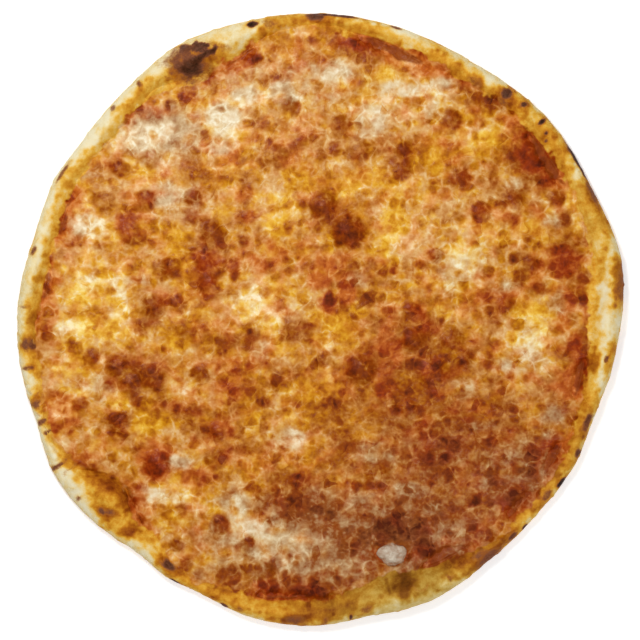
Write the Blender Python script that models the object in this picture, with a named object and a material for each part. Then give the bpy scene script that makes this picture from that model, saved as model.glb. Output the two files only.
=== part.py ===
"""A whole, uncut cheese pizza, 406 mm across: thin dough with a low uneven rim, tomato sauce,
melted cheese with browned blisters, and one lump of cheese that hasn't melted.

Metres, +Z up. The pizza lies flat on z = 0, with the origin under the middle of its extent.
Angles are in degrees, anticlockwise from +X seen from above. Depths are measured in from the
outline towards the middle. Tables are in millimetres, the sizes a cook would measure.
"""

import math

import bmesh
import bpy
import numpy as np
from mathutils import Vector, noise
from mathutils.geometry import delaunay_2d_cdt

MM = 0.001

# The outline: (degrees, radius). A hand-stretched disc, with flats and a few corners.
OUTLINE = (
    (0, 202.6), (10, 206.5), (25, 203.0), (40, 204.2), (60, 201.1), (75, 203.3), (90, 205.9),
    (105, 206.7), (118, 207.9), (130, 202.8), (145, 200.6), (152, 202.4), (162, 200.7),
    (175, 203.5), (190, 204.5), (200, 203.7), (210, 207.7), (222, 204.9), (232, 200.1),
    (240, 202.4), (246, 201.9), (256, 206.2), (270, 206.4), (280, 202.8), (290, 204.0),
    (305, 198.6), (320, 196.6), (330, 197.6), (340, 195.8), (350, 199.0),
)
# How far the bare rim reaches in from the outline: (degrees, depth).
RIM_WIDTH = (
    (0, 21), (12, 19), (25, 15), (40, 14), (52, 15), (65, 16), (78, 11), (92, 10), (103, 16),
    (115, 28), (126, 17), (140, 17), (155, 14), (170, 15), (182, 14), (195, 10), (204, 9),
    (211, 18), (219, 33), (228, 19), (238, 10), (252, 11), (268, 18), (285, 24), (297, 18),
    (312, 12), (325, 12), (340, 14), (350, 18),
)
# How high the rim stands: (degrees, height).
RIM_HEIGHT = (
    (0, 17), (20, 14.5), (40, 13), (60, 14.5), (80, 12.5), (95, 12), (106, 14.5), (125, 15),
    (145, 14), (160, 13), (180, 14.5), (195, 12), (205, 11.5), (215, 14), (228, 13.5),
    (240, 11.5), (255, 11.5), (270, 13.5), (288, 16), (300, 14), (315, 11.5), (330, 12.5),
    (345, 15),
)
# How far the cheese stops short of the rim, with sauce bare between: (degrees, depth).
# It is below zero where the cheese has run up onto the rim.
CHEESE_INSET = (
    (0, 1), (12, 1), (26, 2), (35, 9), (44, 2), (58, 1.5), (66, 3), (74, 9), (82, 4), (92, 0),
    (100, 1.5), (107, 5), (114, 1.5), (135, 1), (148, 1), (154, 4), (160, 5), (166, 1.5),
    (173, 5), (180, 2), (190, 0), (200, -2), (210, 0), (220, 1.5), (228, 4), (235, 1),
    (245, -1), (253, 1), (259, 5), (266, 4), (273, 0.5), (284, 0.5), (292, 3), (298, 11),
    (304, 3), (311, 1), (317, 7), (322, 2), (329, 7), (335, 2), (341, 2), (347, 7), (353, 2),
)

BASE_THICKNESS = 4.0 * MM
SAUCE_THICKNESS = 1.3 * MM
CHEESE_THICKNESS = 2.6 * MM
SAUCE_SHOWING = 1.0 * MM  # the least width of sauce between cheese and rim
LAYER_GAP = 0.35 * MM  # clearance between layers that lie on each other

# The rim's section.
UNDERCUT = 8.0 * MM  # from the outline in to where the dough meets the table
WIDEST_AT = 0.42  # height of the outermost point, as a share of the rim's height
CREST_AT = 0.45  # depth of the crest, as a share of the rim's width
FOOT_RUN = 6.0 * MM  # the rim's inner foot, which the topping covers
RIM_LUMPS = 0.7 * MM  # height of the gentle unevenness of the dough
RIM_LUMP_LENGTH = 17.0 * MM
RELIEF_FADE = 3.0 * MM  # the rim's relief ends over this much before the sauce

# Bubbles in the dough of the rim: (degrees, depth, half length along the rim, half width, height).
RIM_BUBBLES = (
    (116, 14, 17.5, 13.5, 6.5),  # the big charred one
    (219.5, 23, 21, 11, 4.5),  # the long browned one
    (4, 9, 26, 9, 1.5),
    (287, 10, 15, 9, 2.0),
    (184, 9, 9, 7, 2.2),
    (64, 8, 16, 7, 1.2),
    (137, 8, 22, 7, 1.2),
    (172, 6, 14, 6, 1.4),
    (206, 6, 8, 5, 1.6),
    (238, 6, 10, 5, 1.6),
    (334, 7, 10, 6, 1.5),
    (26, 7, 12, 6, 1.3),
    (308, 6, 10, 5, 1.4),
    (262, 9, 12, 7, 1.3),
)

# Browned blisters in the cheese: (x, y, radius, height).
BLISTERS = (
    (19, 59, 11.0, 4.0), (2, 77, 9.0, 3.0), (27, -34, 9.5, 3.5), (62, -14, 7.5, 3.0),
    (89, -15, 7.5, 2.2), (76, -36, 10.0, 2.4), (97, -28, 5.0, 1.5), (2, -28, 5.0, 1.3),
    (-72, 57, 7.5, 2.6), (-100, 35, 7.0, 2.2), (-78, 39, 6.0, 2.0), (-75, 24, 6.5, 2.2),
    (-113, 9, 8.0, 2.8), (-96, 10, 5.5, 1.5), (-138, -32, 7.5, 2.5), (-113, -39, 9.0, 2.8),
    (-128, -45, 7.0, 2.0), (-135, -70, 7.0, 2.8), (-110, -97, 8.5, 3.0), (-69, -75, 5.5, 2.0),
    (-80, -36, 7.0, 1.8), (-91, -6, 5.5, 1.6), (-70, -93, 7.5, 1.5), (-68, -139, 6.5, 2.0),
    (-49, -151, 5.5, 1.8), (-97, -151, 5.0, 1.8), (-31, -165, 5.0, 1.5), (38, -105, 8.0, 1.6),
    (56, 114, 5.5, 1.8), (94, 94, 6.5, 1.9), (108, 72, 6.5, 1.9), (130, 80, 6.0, 1.9),
    (78, 43, 5.0, 1.8), (88, 134, 6.0, 1.5), (124, 10, 7.0, 1.8), (142, 38, 5.0, 1.5),
    (158, 81, 6.5, 1.8), (54, 100, 8.0, 1.5), (27, 113, 7.0, 1.6), (13, 130, 6.5, 1.5),
    (-117, 80, 7.5, 1.8), (-86, 81, 6.0, 1.5), (-136, 101, 6.5, 1.5), (-144, 79, 6.5, 1.4),
    (-128, 59, 8.0, 1.5), (-32, 110, 8.0, 1.4), (60, 6, 6.0, 1.6), (-19, -7, 9.0, 1.5),
    (-27, -42, 7.0, 1.3), (47, -61, 5.5, 1.5), (60, -61, 5.5, 1.5), (-162, -57, 6.0, 1.6),
    (-154, -26, 5.0, 1.6), (-23, 145, 6.5, 1.3), (-114, 108, 7.0, 1.3), (115, -56, 5.0, 1.4),
)
BLISTER_SKIRT = 1.2  # a blister's swelling ends at this many radii
CHEESE_WAVES = 0.55 * MM  # height of the unevenness of the melted cheese
CHEESE_WAVE_LENGTH = 24.0 * MM
CHEESE_DIMPLES = 0.35 * MM
CHEESE_DIMPLE_LENGTH = 9.0 * MM
CHEESE_EDGE_SHARE = 0.35  # thickness at the cheese's edge, as a share of the full thickness
CHEESE_EDGE_RUN = 8.0 * MM  # how far in from the edge it is at full thickness

# The lump of cheese that hasn't melted: its place, size and turn, and its flat seat.
LUMP_AT = (47.5 * MM, -157.5 * MM)
LUMP_SIZE = (19.5 * MM, 13.0 * MM, 7.0 * MM)
LUMP_TURN = math.radians(-8)
LUMP_SEAT = 12.0 * MM  # the cheese is levelled this far round the lump's middle
LUMP_SUNK = 0.25  # height of its middle above the seat, as a share of its height
LUMP_BUMPS = 3.4 * MM
LUMP_BUMP_LENGTH = 6.0 * MM

# Fineness of the faceted solids.
SECTORS = 140
UNDER_STEPS = 2
SIDE_STEPS = 3
SLOPE_STEPS = 4  # from the crest to the sauce
SHOWING_STEPS = 2  # over the sauce that shows
LAYER_STEPS = 3  # from a layer's edge to its flat middle
LAYER_RUN = 5.0 * MM  # the cheese's underside is flat from this far inside its edge
LATTICE = 8.0 * MM  # spacing of the cheese's points away from blisters
CLOSEST = 2.0 * MM  # points of the cheese are no closer than this
EDGE_RINGS = (2.6 * MM, 6.5 * MM)  # rings of points inside the cheese's edge
BLISTER_RINGS = ((0.5, 6), (0.95, 9), (1.35, 11))  # (share of the radius, points)

DOUGH = (0.86, 0.66, 0.36, 1.0)
SAUCE_RED = (0.42, 0.06, 0.015, 1.0)
MELTED_CHEESE = (0.80, 0.42, 0.12, 1.0)
FRESH_CHEESE = (0.80, 0.74, 0.62, 1.0)


def clear_scene():
    for obj in list(bpy.data.objects):
        bpy.data.objects.remove(obj)


def around(table, degrees):
    """The values at some angles of the smooth closed curve through a table of (degrees, value)."""
    angles, values = np.array(table, float).T
    angles = np.concatenate([angles[-2:] - 360, angles, angles[:2] + 360])
    values = np.concatenate([values[-2:], values, values[:2]])
    slopes = np.gradient(values, angles)
    degrees = np.asarray(degrees, float) % 360
    low = np.searchsorted(angles, degrees, side="right") - 1
    span = angles[low + 1] - angles[low]
    t = (degrees - angles[low]) / span
    from_low = (1 + 2 * t) * (1 - t) ** 2 * values[low] + t * (1 - t) ** 2 * span * slopes[low]
    from_high = t**2 * (3 - 2 * t) * values[low + 1] - t**2 * (1 - t) * span * slopes[low + 1]
    return from_low + from_high


def smoothstep(t):
    t = np.clip(t, 0, 1)
    return t * t * (3 - 2 * t)


def lumps(x, y, length, seed):
    """Smooth unevenness from -1 to 1, its waves about as long as length."""
    points = np.stack([np.asarray(x), np.asarray(y)], -1).reshape(-1, 2) / length
    found = [noise.noise(Vector((px, py, seed))) for px, py in points]
    return np.array(found).reshape(np.shape(x))


def on_plan(degrees, depth):
    """x and y of points at these angles, this far in from the outline."""
    radius = around(OUTLINE, degrees) * MM - depth
    turn = np.radians(degrees)
    return radius * np.cos(turn), radius * np.sin(turn)


def degrees_and_depth(x, y):
    degrees = np.degrees(np.arctan2(y, x))
    return degrees, around(OUTLINE, degrees) * MM - np.hypot(x, y)


def rim_width(degrees):
    return around(RIM_WIDTH, degrees) * MM


def rim_height(degrees):
    return around(RIM_HEIGHT, degrees) * MM


def cheese_edge(degrees):
    """Depth at which the cheese begins."""
    return rim_width(degrees) + around(CHEESE_INSET, degrees) * MM


def sauce_edge(degrees):
    """Depth at which the sauce begins: the rim's foot, or just past the cheese where that climbs."""
    return np.minimum(rim_width(degrees), cheese_edge(degrees) - SAUCE_SHOWING)


def foot_depth(degrees):
    return rim_width(degrees) + FOOT_RUN


def steps_between(first, last, count):
    """Depths from first to last in so many equal steps."""
    return [first + (last - first) * i / count for i in range(count + 1)]


def sauce_foot(degrees):
    """Depths of the rings that the sauce's underside shares with the dough."""
    return steps_between(sauce_edge(degrees), foot_depth(degrees), LAYER_STEPS)


def cheese_foot(degrees):
    """Depths of the rings that the cheese's underside shares with the sauce."""
    edge = cheese_edge(degrees)
    return steps_between(edge, np.maximum(edge, foot_depth(degrees)) + LAYER_RUN, LAYER_STEPS)


def slope_height(degrees, depth):
    """The dough's top from the crest inwards, without its bubbles: the rim falls to the base."""
    crest = CREST_AT * rim_width(degrees)
    fall = smoothstep((depth - crest) / (foot_depth(degrees) - crest))
    return rim_height(degrees) + (BASE_THICKNESS - rim_height(degrees)) * fall


def dome(away):
    """A blister's section: 1 in the middle, and 0 from 1 outwards."""
    return np.clip(1 - away**2, 0, 1) ** 1.3


def rim_relief(degrees, depth):
    """Bubbles and lumps of the bare rim, which fade out before the sauce."""
    height = RIM_LUMPS * lumps(*on_plan(degrees, depth), RIM_LUMP_LENGTH, seed=3.0)
    for middle, bubble_depth, half_length, half_width, top in RIM_BUBBLES:
        off_middle = (degrees - middle + 180) % 360 - 180
        along = np.radians(off_middle) * around(OUTLINE, middle) / half_length
        across = (depth / MM - bubble_depth) / half_width
        height = height + top * MM * dome(np.hypot(along, across))
    return height * smoothstep((sauce_edge(degrees) - depth) / RELIEF_FADE)


def crust_section(degrees):
    """(depth, height) of each ring of the dough, from the table round the rim to its inner foot."""
    widest = WIDEST_AT * rim_height(degrees)
    crest = CREST_AT * rim_width(degrees)
    outside = []
    for turn in np.linspace(0, math.pi / 2, UNDER_STEPS + 1):
        outside.append((UNDERCUT * (1 - math.sin(turn)), widest * (1 - math.cos(turn))))
    for turn in np.linspace(0, math.pi / 2, SIDE_STEPS + 1)[1:]:
        rise = (rim_height(degrees) - widest) * math.sin(turn)
        outside.append((crest * (1 - math.cos(turn)), widest + rise))
    rings = []
    for depth, height in outside:
        share_up = height / rim_height(degrees)
        rings.append((depth, height + rim_relief(degrees, depth) * share_up**2))
    inward = steps_between(crest, sauce_edge(degrees), SLOPE_STEPS)[1:] + sauce_foot(degrees)[1:]
    for depth in inward:
        rings.append((depth, slope_height(degrees, depth) + rim_relief(degrees, depth)))
    return rings


def sauce_top(degrees, depth):
    grown = smoothstep((depth - sauce_edge(degrees)) / CHEESE_EDGE_RUN)
    thickness = SAUCE_THICKNESS * (CHEESE_EDGE_SHARE + (1 - CHEESE_EDGE_SHARE) * grown)
    return slope_height(degrees, depth) + LAYER_GAP + thickness


def blister_height(x, y):
    """Height of the blisters above the cheese. Where two meet, the higher one shows."""
    total = np.zeros(np.shape(x))
    for bx, by, radius, top in BLISTERS:
        away = np.hypot(x - bx * MM, y - by * MM) / (radius * MM * BLISTER_SKIRT)
        total += (top * MM * dome(away)) ** 3
    return np.cbrt(total)


def cheese_top(x, y):
    degrees, depth = degrees_and_depth(x, y)
    grown = smoothstep((depth - cheese_edge(degrees)) / CHEESE_EDGE_RUN)
    thickness = CHEESE_THICKNESS * (CHEESE_EDGE_SHARE + (1 - CHEESE_EDGE_SHARE) * grown)
    waves = CHEESE_WAVES * lumps(x, y, CHEESE_WAVE_LENGTH, seed=11.0)
    dimples = CHEESE_DIMPLES * lumps(x, y, CHEESE_DIMPLE_LENGTH, seed=17.0)
    relief = (waves + dimples + blister_height(x, y)) * grown
    height = sauce_top(degrees, depth) + LAYER_GAP + thickness + relief
    seat = smoothstep((LUMP_SEAT - np.hypot(x - LUMP_AT[0], y - LUMP_AT[1])) / (LUMP_SEAT / 3))
    return height + (seat_height() - height) * seat


def seat_height():
    return BASE_THICKNESS + SAUCE_THICKNESS + CHEESE_THICKNESS + 2 * LAYER_GAP


def ring_of_vertices(bm, degrees, depth, height):
    x, y = on_plan(degrees, depth)
    height = np.broadcast_to(height, np.shape(x))
    return [bm.verts.new(point) for point in zip(x, y, height)]


def bridge(bm, outer, inner):
    """Triangles between two rings. Rings that face each other across a gap are split alike."""
    for i in range(len(outer)):
        j = (i + 1) % len(outer)
        bm.faces.new((outer[i], outer[j], inner[j]))
        bm.faces.new((outer[i], inner[j], inner[i]))


def bridge_all(bm, rings):
    for outer, inner in zip(rings, rings[1:]):
        bridge(bm, outer, inner)
    bm.faces.new(rings[-1])


def sector_angles():
    return np.arange(SECTORS) * 360 / SECTORS


def crust_mesh():
    bm = bmesh.new()
    degrees = sector_angles()
    rings = [ring_of_vertices(bm, degrees, *place) for place in crust_section(degrees)]
    bridge_all(bm, rings)
    bm.faces.new(rings[0])
    return bm


def sauce_mesh():
    bm = bmesh.new()
    degrees = sector_angles()
    under = [
        ring_of_vertices(bm, degrees, depth, slope_height(degrees, depth) + LAYER_GAP)
        for depth in sauce_foot(degrees)
    ]
    showing = steps_between(sauce_edge(degrees), cheese_edge(degrees), SHOWING_STEPS)
    over = [
        ring_of_vertices(bm, degrees, depth, sauce_top(degrees, depth))
        for depth in showing + cheese_foot(degrees)[1:]
    ]
    bridge_all(bm, under)
    bridge_all(bm, over)
    bridge(bm, under[0], over[0])
    return bm


def wanted_points():
    """Points for the cheese's top: rings inside its edge, rings round each blister, a lattice."""
    for inset in EDGE_RINGS:
        yield from zip(*on_plan(sector_angles(), cheese_edge(sector_angles()) + inset))
    for bx, by, radius, _ in sorted(BLISTERS, key=lambda blister: -blister[2]):
        yield bx * MM, by * MM
        for share, count in BLISTER_RINGS:
            for turn in np.arange(count) * 2 * math.pi / count + share:
                reach = share * radius
                yield (bx + reach * math.cos(turn)) * MM, (by + reach * math.sin(turn)) * MM
    row_height = LATTICE * math.sqrt(3) / 2
    most_rows = math.ceil(max(radius for _, radius in OUTLINE) * MM / row_height)
    for row in range(-most_rows, most_rows + 1):
        for column in range(-most_rows, most_rows + 1):
            yield (column + row % 2 / 2) * LATTICE, row * row_height


def spacing_at(x, y):
    """The least distance between points: small on a blister, most of the lattice's elsewhere."""
    off = [math.hypot(x - bx * MM, y - by * MM) / (radius * MM) for bx, by, radius, _ in BLISTERS]
    return CLOSEST if min(off) < BLISTER_RINGS[-1][0] + 0.1 else 0.62 * LATTICE


def cheese_points():
    """The cheese's outline, one point a sector, and then the wanted points that have room."""
    kept = np.stack(on_plan(sector_angles(), cheese_edge(sector_angles())), -1)
    for point in wanted_points():
        angle, depth = degrees_and_depth(*point)
        well_inside = depth > cheese_edge(angle) + 0.9 * EDGE_RINGS[0]
        if well_inside and np.hypot(*(kept - point).T).min() > spacing_at(*point):
            kept = np.vstack([kept, point])
    return kept


def cheese_mesh():
    bm = bmesh.new()
    degrees = sector_angles()
    under = [
        ring_of_vertices(bm, degrees, depth, sauce_top(degrees, depth) + LAYER_GAP)
        for depth in cheese_foot(degrees)
    ]
    bridge_all(bm, under)
    plan = [Vector(point) for point in cheese_points()]
    flat, _, triangles, *_ = delaunay_2d_cdt(plan, [], [list(range(SECTORS))], 1, 1e-7)
    x, y = np.array(flat).T
    top = [bm.verts.new(point) for point in zip(x, y, cheese_top(x, y))]
    for triangle in triangles:
        bm.faces.new([top[i] for i in triangle])
    bridge(bm, under[0], top[:SECTORS])
    return bm


def lump_mesh():
    """A rounded, knobbly lump, cut flat below so that it sits on its seat, which is z = 0 here."""
    bm = bmesh.new()
    bmesh.ops.create_icosphere(bm, subdivisions=3, radius=0.5)
    for vert in bm.verts:
        way = vert.co.normalized()
        place = Vector(a * b for a, b in zip(vert.co, LUMP_SIZE))
        vert.co = place + way * LUMP_BUMPS * noise.noise(place / LUMP_BUMP_LENGTH)
    bmesh.ops.translate(bm, verts=bm.verts, vec=(0, 0, LUMP_SUNK * LUMP_SIZE[2]))
    geometry = bm.verts[:] + bm.edges[:] + bm.faces[:]
    cut = bmesh.ops.bisect_plane(
        bm, geom=geometry, plane_co=(0, 0, 0), plane_no=(0, 0, -1), clear_outer=True
    )
    rim = [item for item in cut["geom_cut"] if isinstance(item, bmesh.types.BMEdge)]
    bmesh.ops.contextual_create(bm, geom=rim)
    return bm


def material(name, colour, roughness):
    made = bpy.data.materials.new(name)
    made.use_nodes = True
    shader = made.node_tree.nodes["Principled BSDF"]
    shader.inputs["Base Color"].default_value = colour
    shader.inputs["Roughness"].default_value = roughness
    shader.inputs["Metallic"].default_value = 0.0
    return made


def add_piece(name, bm, finish, parent):
    bmesh.ops.recalc_face_normals(bm, faces=bm.faces)
    mesh = bpy.data.meshes.new(name)
    bm.to_mesh(mesh)
    bm.free()
    mesh.materials.append(finish)
    mesh.shade_smooth()
    piece = bpy.data.objects.new(name, mesh)
    bpy.context.scene.collection.objects.link(piece)
    piece.parent = parent
    return piece


def main():
    clear_scene()
    pizza = bpy.data.objects.new("pizza", None)
    bpy.context.scene.collection.objects.link(pizza)
    crust = add_piece("crust", crust_mesh(), material("dough", DOUGH, 0.75), pizza)
    add_piece("sauce", sauce_mesh(), material("sauce", SAUCE_RED, 0.35), pizza)
    add_piece("cheese", cheese_mesh(), material("melted_cheese", MELTED_CHEESE, 0.4), pizza)
    lump = add_piece("cheese_lump", lump_mesh(), material("fresh_cheese", FRESH_CHEESE, 0.5), pizza)
    lump.location = (*LUMP_AT, seat_height() + LAYER_GAP)
    lump.rotation_euler.z = LUMP_TURN
    corners = np.array([vert.co for vert in crust.data.vertices])
    middle = (corners.min(0) + corners.max(0)) / 2
    pizza.location = (-middle[0], -middle[1], 0)


main()
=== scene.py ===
"""The looks of the cheese pizza: fine meshes and materials for its dough, sauce, cheese and lump.

Sizes are in millimetres and angles in degrees, anticlockwise from +X seen from above. Depths are
measured in from the outline. Only make_piece, the camera and the lights turn them into metres.
"""

import itertools
import math

import bmesh
import bpy
import numpy as np
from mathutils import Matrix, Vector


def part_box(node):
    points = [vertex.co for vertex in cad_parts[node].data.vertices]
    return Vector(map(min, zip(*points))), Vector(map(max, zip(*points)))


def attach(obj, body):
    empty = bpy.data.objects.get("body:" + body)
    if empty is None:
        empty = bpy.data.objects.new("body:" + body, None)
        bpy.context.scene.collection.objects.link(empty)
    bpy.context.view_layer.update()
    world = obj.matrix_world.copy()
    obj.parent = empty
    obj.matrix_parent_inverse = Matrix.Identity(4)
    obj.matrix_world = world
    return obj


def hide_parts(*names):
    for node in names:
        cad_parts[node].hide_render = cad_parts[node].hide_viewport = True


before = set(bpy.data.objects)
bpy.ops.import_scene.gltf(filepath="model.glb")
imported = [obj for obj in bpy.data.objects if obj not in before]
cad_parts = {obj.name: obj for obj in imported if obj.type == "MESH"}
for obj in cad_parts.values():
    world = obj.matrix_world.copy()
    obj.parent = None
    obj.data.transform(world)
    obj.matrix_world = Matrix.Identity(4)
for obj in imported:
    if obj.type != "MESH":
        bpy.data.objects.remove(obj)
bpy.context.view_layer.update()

MM = 0.001

# ------------------------------
# The pizza's plan, as its solids have it.

# The outline: (degrees, radius).
OUTLINE = (
    (0, 202.6), (10, 206.5), (25, 203.0), (40, 204.2), (60, 201.1), (75, 203.3), (90, 205.9),
    (105, 206.7), (118, 207.9), (130, 202.8), (145, 200.6), (152, 202.4), (162, 200.7),
    (175, 203.5), (190, 204.5), (200, 203.7), (210, 207.7), (222, 204.9), (232, 200.1),
    (240, 202.4), (246, 201.9), (256, 206.2), (270, 206.4), (280, 202.8), (290, 204.0),
    (305, 198.6), (320, 196.6), (330, 197.6), (340, 195.8), (350, 199.0),
)
# How far the bare rim reaches in from the outline: (degrees, depth).
RIM_WIDTH = (
    (0, 21), (12, 19), (25, 15), (40, 14), (52, 15), (65, 16), (78, 11), (92, 10), (103, 16),
    (115, 28), (126, 17), (140, 17), (155, 14), (170, 15), (182, 14), (195, 10), (204, 9),
    (211, 18), (219, 33), (228, 19), (238, 10), (252, 11), (268, 18), (285, 24), (297, 18),
    (312, 12), (325, 12), (340, 14), (350, 18),
)
# How high the rim stands: (degrees, height).
RIM_HEIGHT = (
    (0, 17), (20, 14.5), (40, 13), (60, 14.5), (80, 12.5), (95, 12), (106, 14.5), (125, 15),
    (145, 14), (160, 13), (180, 14.5), (195, 12), (205, 11.5), (215, 14), (228, 13.5), (240, 11.5),
    (255, 11.5), (270, 13.5), (288, 16), (300, 14), (315, 11.5), (330, 12.5), (345, 15),
)
# How far the cheese stops short of the rim, with sauce bare between: (degrees, depth).
CHEESE_INSET = (
    (0, 1), (12, 1), (26, 2), (35, 9), (44, 2), (58, 1.5), (66, 3), (74, 9), (82, 4), (92, 0),
    (100, 1.5), (107, 5), (114, 1.5), (135, 1), (148, 1), (154, 4), (160, 5), (166, 1.5), (173, 5),
    (180, 2), (190, 0), (200, -2), (210, 0), (220, 1.5), (228, 4), (235, 1), (245, -1), (253, 1),
    (259, 5), (266, 4), (273, 0.5), (284, 0.5), (292, 3), (298, 11), (304, 3), (311, 1), (317, 7),
    (322, 2), (329, 7), (335, 2), (341, 2), (347, 7), (353, 2),
)
# Folds in the rim's skin: (x, y, to x, to y, half width, height).
FOLDS = (
    (-71, 182, -85, 173, 2.0, 2.0), (-100, 172, -88, 184, 2.6, 1.4),
    (-95, 165, -77, 172, 2.0, -1.6), (-90, 178, -80, 184, 1.6, -1.2),
    (-173, -106, -161, -93, 1.2, -1.0), (-181, -101, -170, -95, 1.0, -0.9),
    (-178, -94, -172, -88, 1.2, 0.8),
)
# Small open bubbles in the rim with a browned edge: (x, y, radius).
RIM_RINGS = ((67, -177.5, 4.7), (86.5, -171, 2.6), (-186, -62, 4.0), (-192, -48, 3.0))
RING_LINE = 1.2  # half the width of their raised edge
BASE_THICKNESS = 4.0
SAUCE_THICKNESS = 1.3
CHEESE_THICKNESS = 2.6
LAYER_GAP = 0.35
SEAT_HEIGHT = BASE_THICKNESS + SAUCE_THICKNESS + CHEESE_THICKNESS + 2 * LAYER_GAP
SAUCE_SHOWING = 1.0  # how far the sauce reaches out past the cheese
BED_LEVEL = 6.8  # how high bare sauce fills the groove by the rim
UNDERCUT = 8.0  # how far in from the outline the rim stands on the table
WIDEST_AT = 0.42  # share of the rim's height where it is widest
CREST_AT = 0.45  # share of the rim's width where it is highest
FOOT_RUN = 6.0  # how far the rim's slope runs on under the sauce
EDGE_SHARE = 0.35  # share of its thickness that the sauce has at its edge
EDGE_RUN = 4.5  # how far in from its edge it has all of it

# Bubbles in the rim: (degrees, depth, half length along the rim, half width, height).
RIM_BUBBLES = (
    (116, 14, 17.5, 13.5, 6.5), (219.5, 23, 21, 11, 4.5), (4, 9, 26, 9, 1.5), (287, 10, 15, 9, 2.0),
    (184, 9, 9, 7, 2.2), (64, 8, 16, 7, 1.2), (137, 8, 22, 7, 1.2), (172, 6, 14, 6, 1.4),
    (206, 6, 8, 5, 1.6), (238, 6, 10, 5, 1.6), (334, 7, 10, 6, 1.5), (26, 7, 12, 6, 1.3),
    (308, 6, 10, 5, 1.4), (262, 9, 12, 7, 1.3),
)
# Browned blisters in the cheese: (x, y, radius, height). The higher ones are also darker.
BLISTERS = (
    (19, 59, 11.0, 4.0), (2, 77, 9.0, 3.0), (27, -34, 9.5, 3.5), (62, -14, 7.5, 3.0),
    (89, -15, 7.5, 2.2), (76, -36, 10.0, 2.4), (97, -28, 5.0, 1.5), (2, -28, 5.0, 1.3),
    (-72, 57, 7.5, 2.6), (-100, 35, 7.0, 2.2), (-78, 39, 6.0, 2.0), (-75, 24, 6.5, 2.2),
    (-113, 9, 8.0, 2.8), (-96, 10, 5.5, 1.5), (-138, -32, 7.5, 2.5), (-113, -39, 9.0, 2.8),
    (-128, -45, 7.0, 2.0), (-135, -70, 7.0, 2.8), (-110, -97, 8.5, 3.0), (-69, -75, 5.5, 2.0),
    (-80, -36, 7.0, 1.8), (-91, -6, 5.5, 1.6), (-70, -93, 7.5, 1.5), (-68, -139, 6.5, 2.0),
    (-49, -151, 5.5, 1.8), (-97, -151, 5.0, 1.8), (-31, -165, 5.0, 1.5), (38, -105, 8.0, 1.6),
    (56, 114, 5.5, 1.8), (94, 94, 6.5, 1.9), (108, 72, 6.5, 1.9), (130, 80, 6.0, 1.9),
    (78, 43, 5.0, 1.8), (88, 134, 6.0, 1.5), (124, 10, 7.0, 1.8), (142, 38, 5.0, 1.5),
    (158, 81, 6.5, 1.8), (54, 100, 8.0, 1.5), (27, 113, 7.0, 1.6), (13, 130, 6.5, 1.5),
    (-117, 80, 7.5, 1.8), (-86, 81, 6.0, 1.5), (-136, 101, 6.5, 1.5), (-144, 79, 6.5, 1.4),
    (-128, 59, 8.0, 1.5), (-32, 110, 8.0, 1.4), (60, 6, 6.0, 1.6), (-19, -7, 9.0, 1.5),
    (-27, -42, 7.0, 1.3), (47, -61, 5.5, 1.5), (60, -61, 5.5, 1.5), (-162, -57, 6.0, 1.6),
    (-154, -26, 5.0, 1.6), (-23, 145, 6.5, 1.3), (-114, 108, 7.0, 1.3), (115, -56, 5.0, 1.4),
)
BLISTER_SKIRT = 1.2  # how much wider than the dark top a blister's foot is

LUMP_AT = (47.5, -157.5)
LUMP_SIZE = (19.5, 13.0, 7.0)
LUMP_TURN = math.radians(-8)
LUMP_SUNK = 0.25  # share of its height that would lie below its seat
LUMP_SEAT = 12.0  # radius of the level place it lies on
LUMP_COLLAR = 2.0  # how high the cheese stands up round it
# How it differs from its solid, as measured against the photograph.
LUMP_SHIFT = 1.0
LUMP_LONGER = 1.22
LUMP_LOWER = 0.85

# ------------------------------
# Where the bake went further or less far: (x, y, half width, half height, strength).

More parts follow.
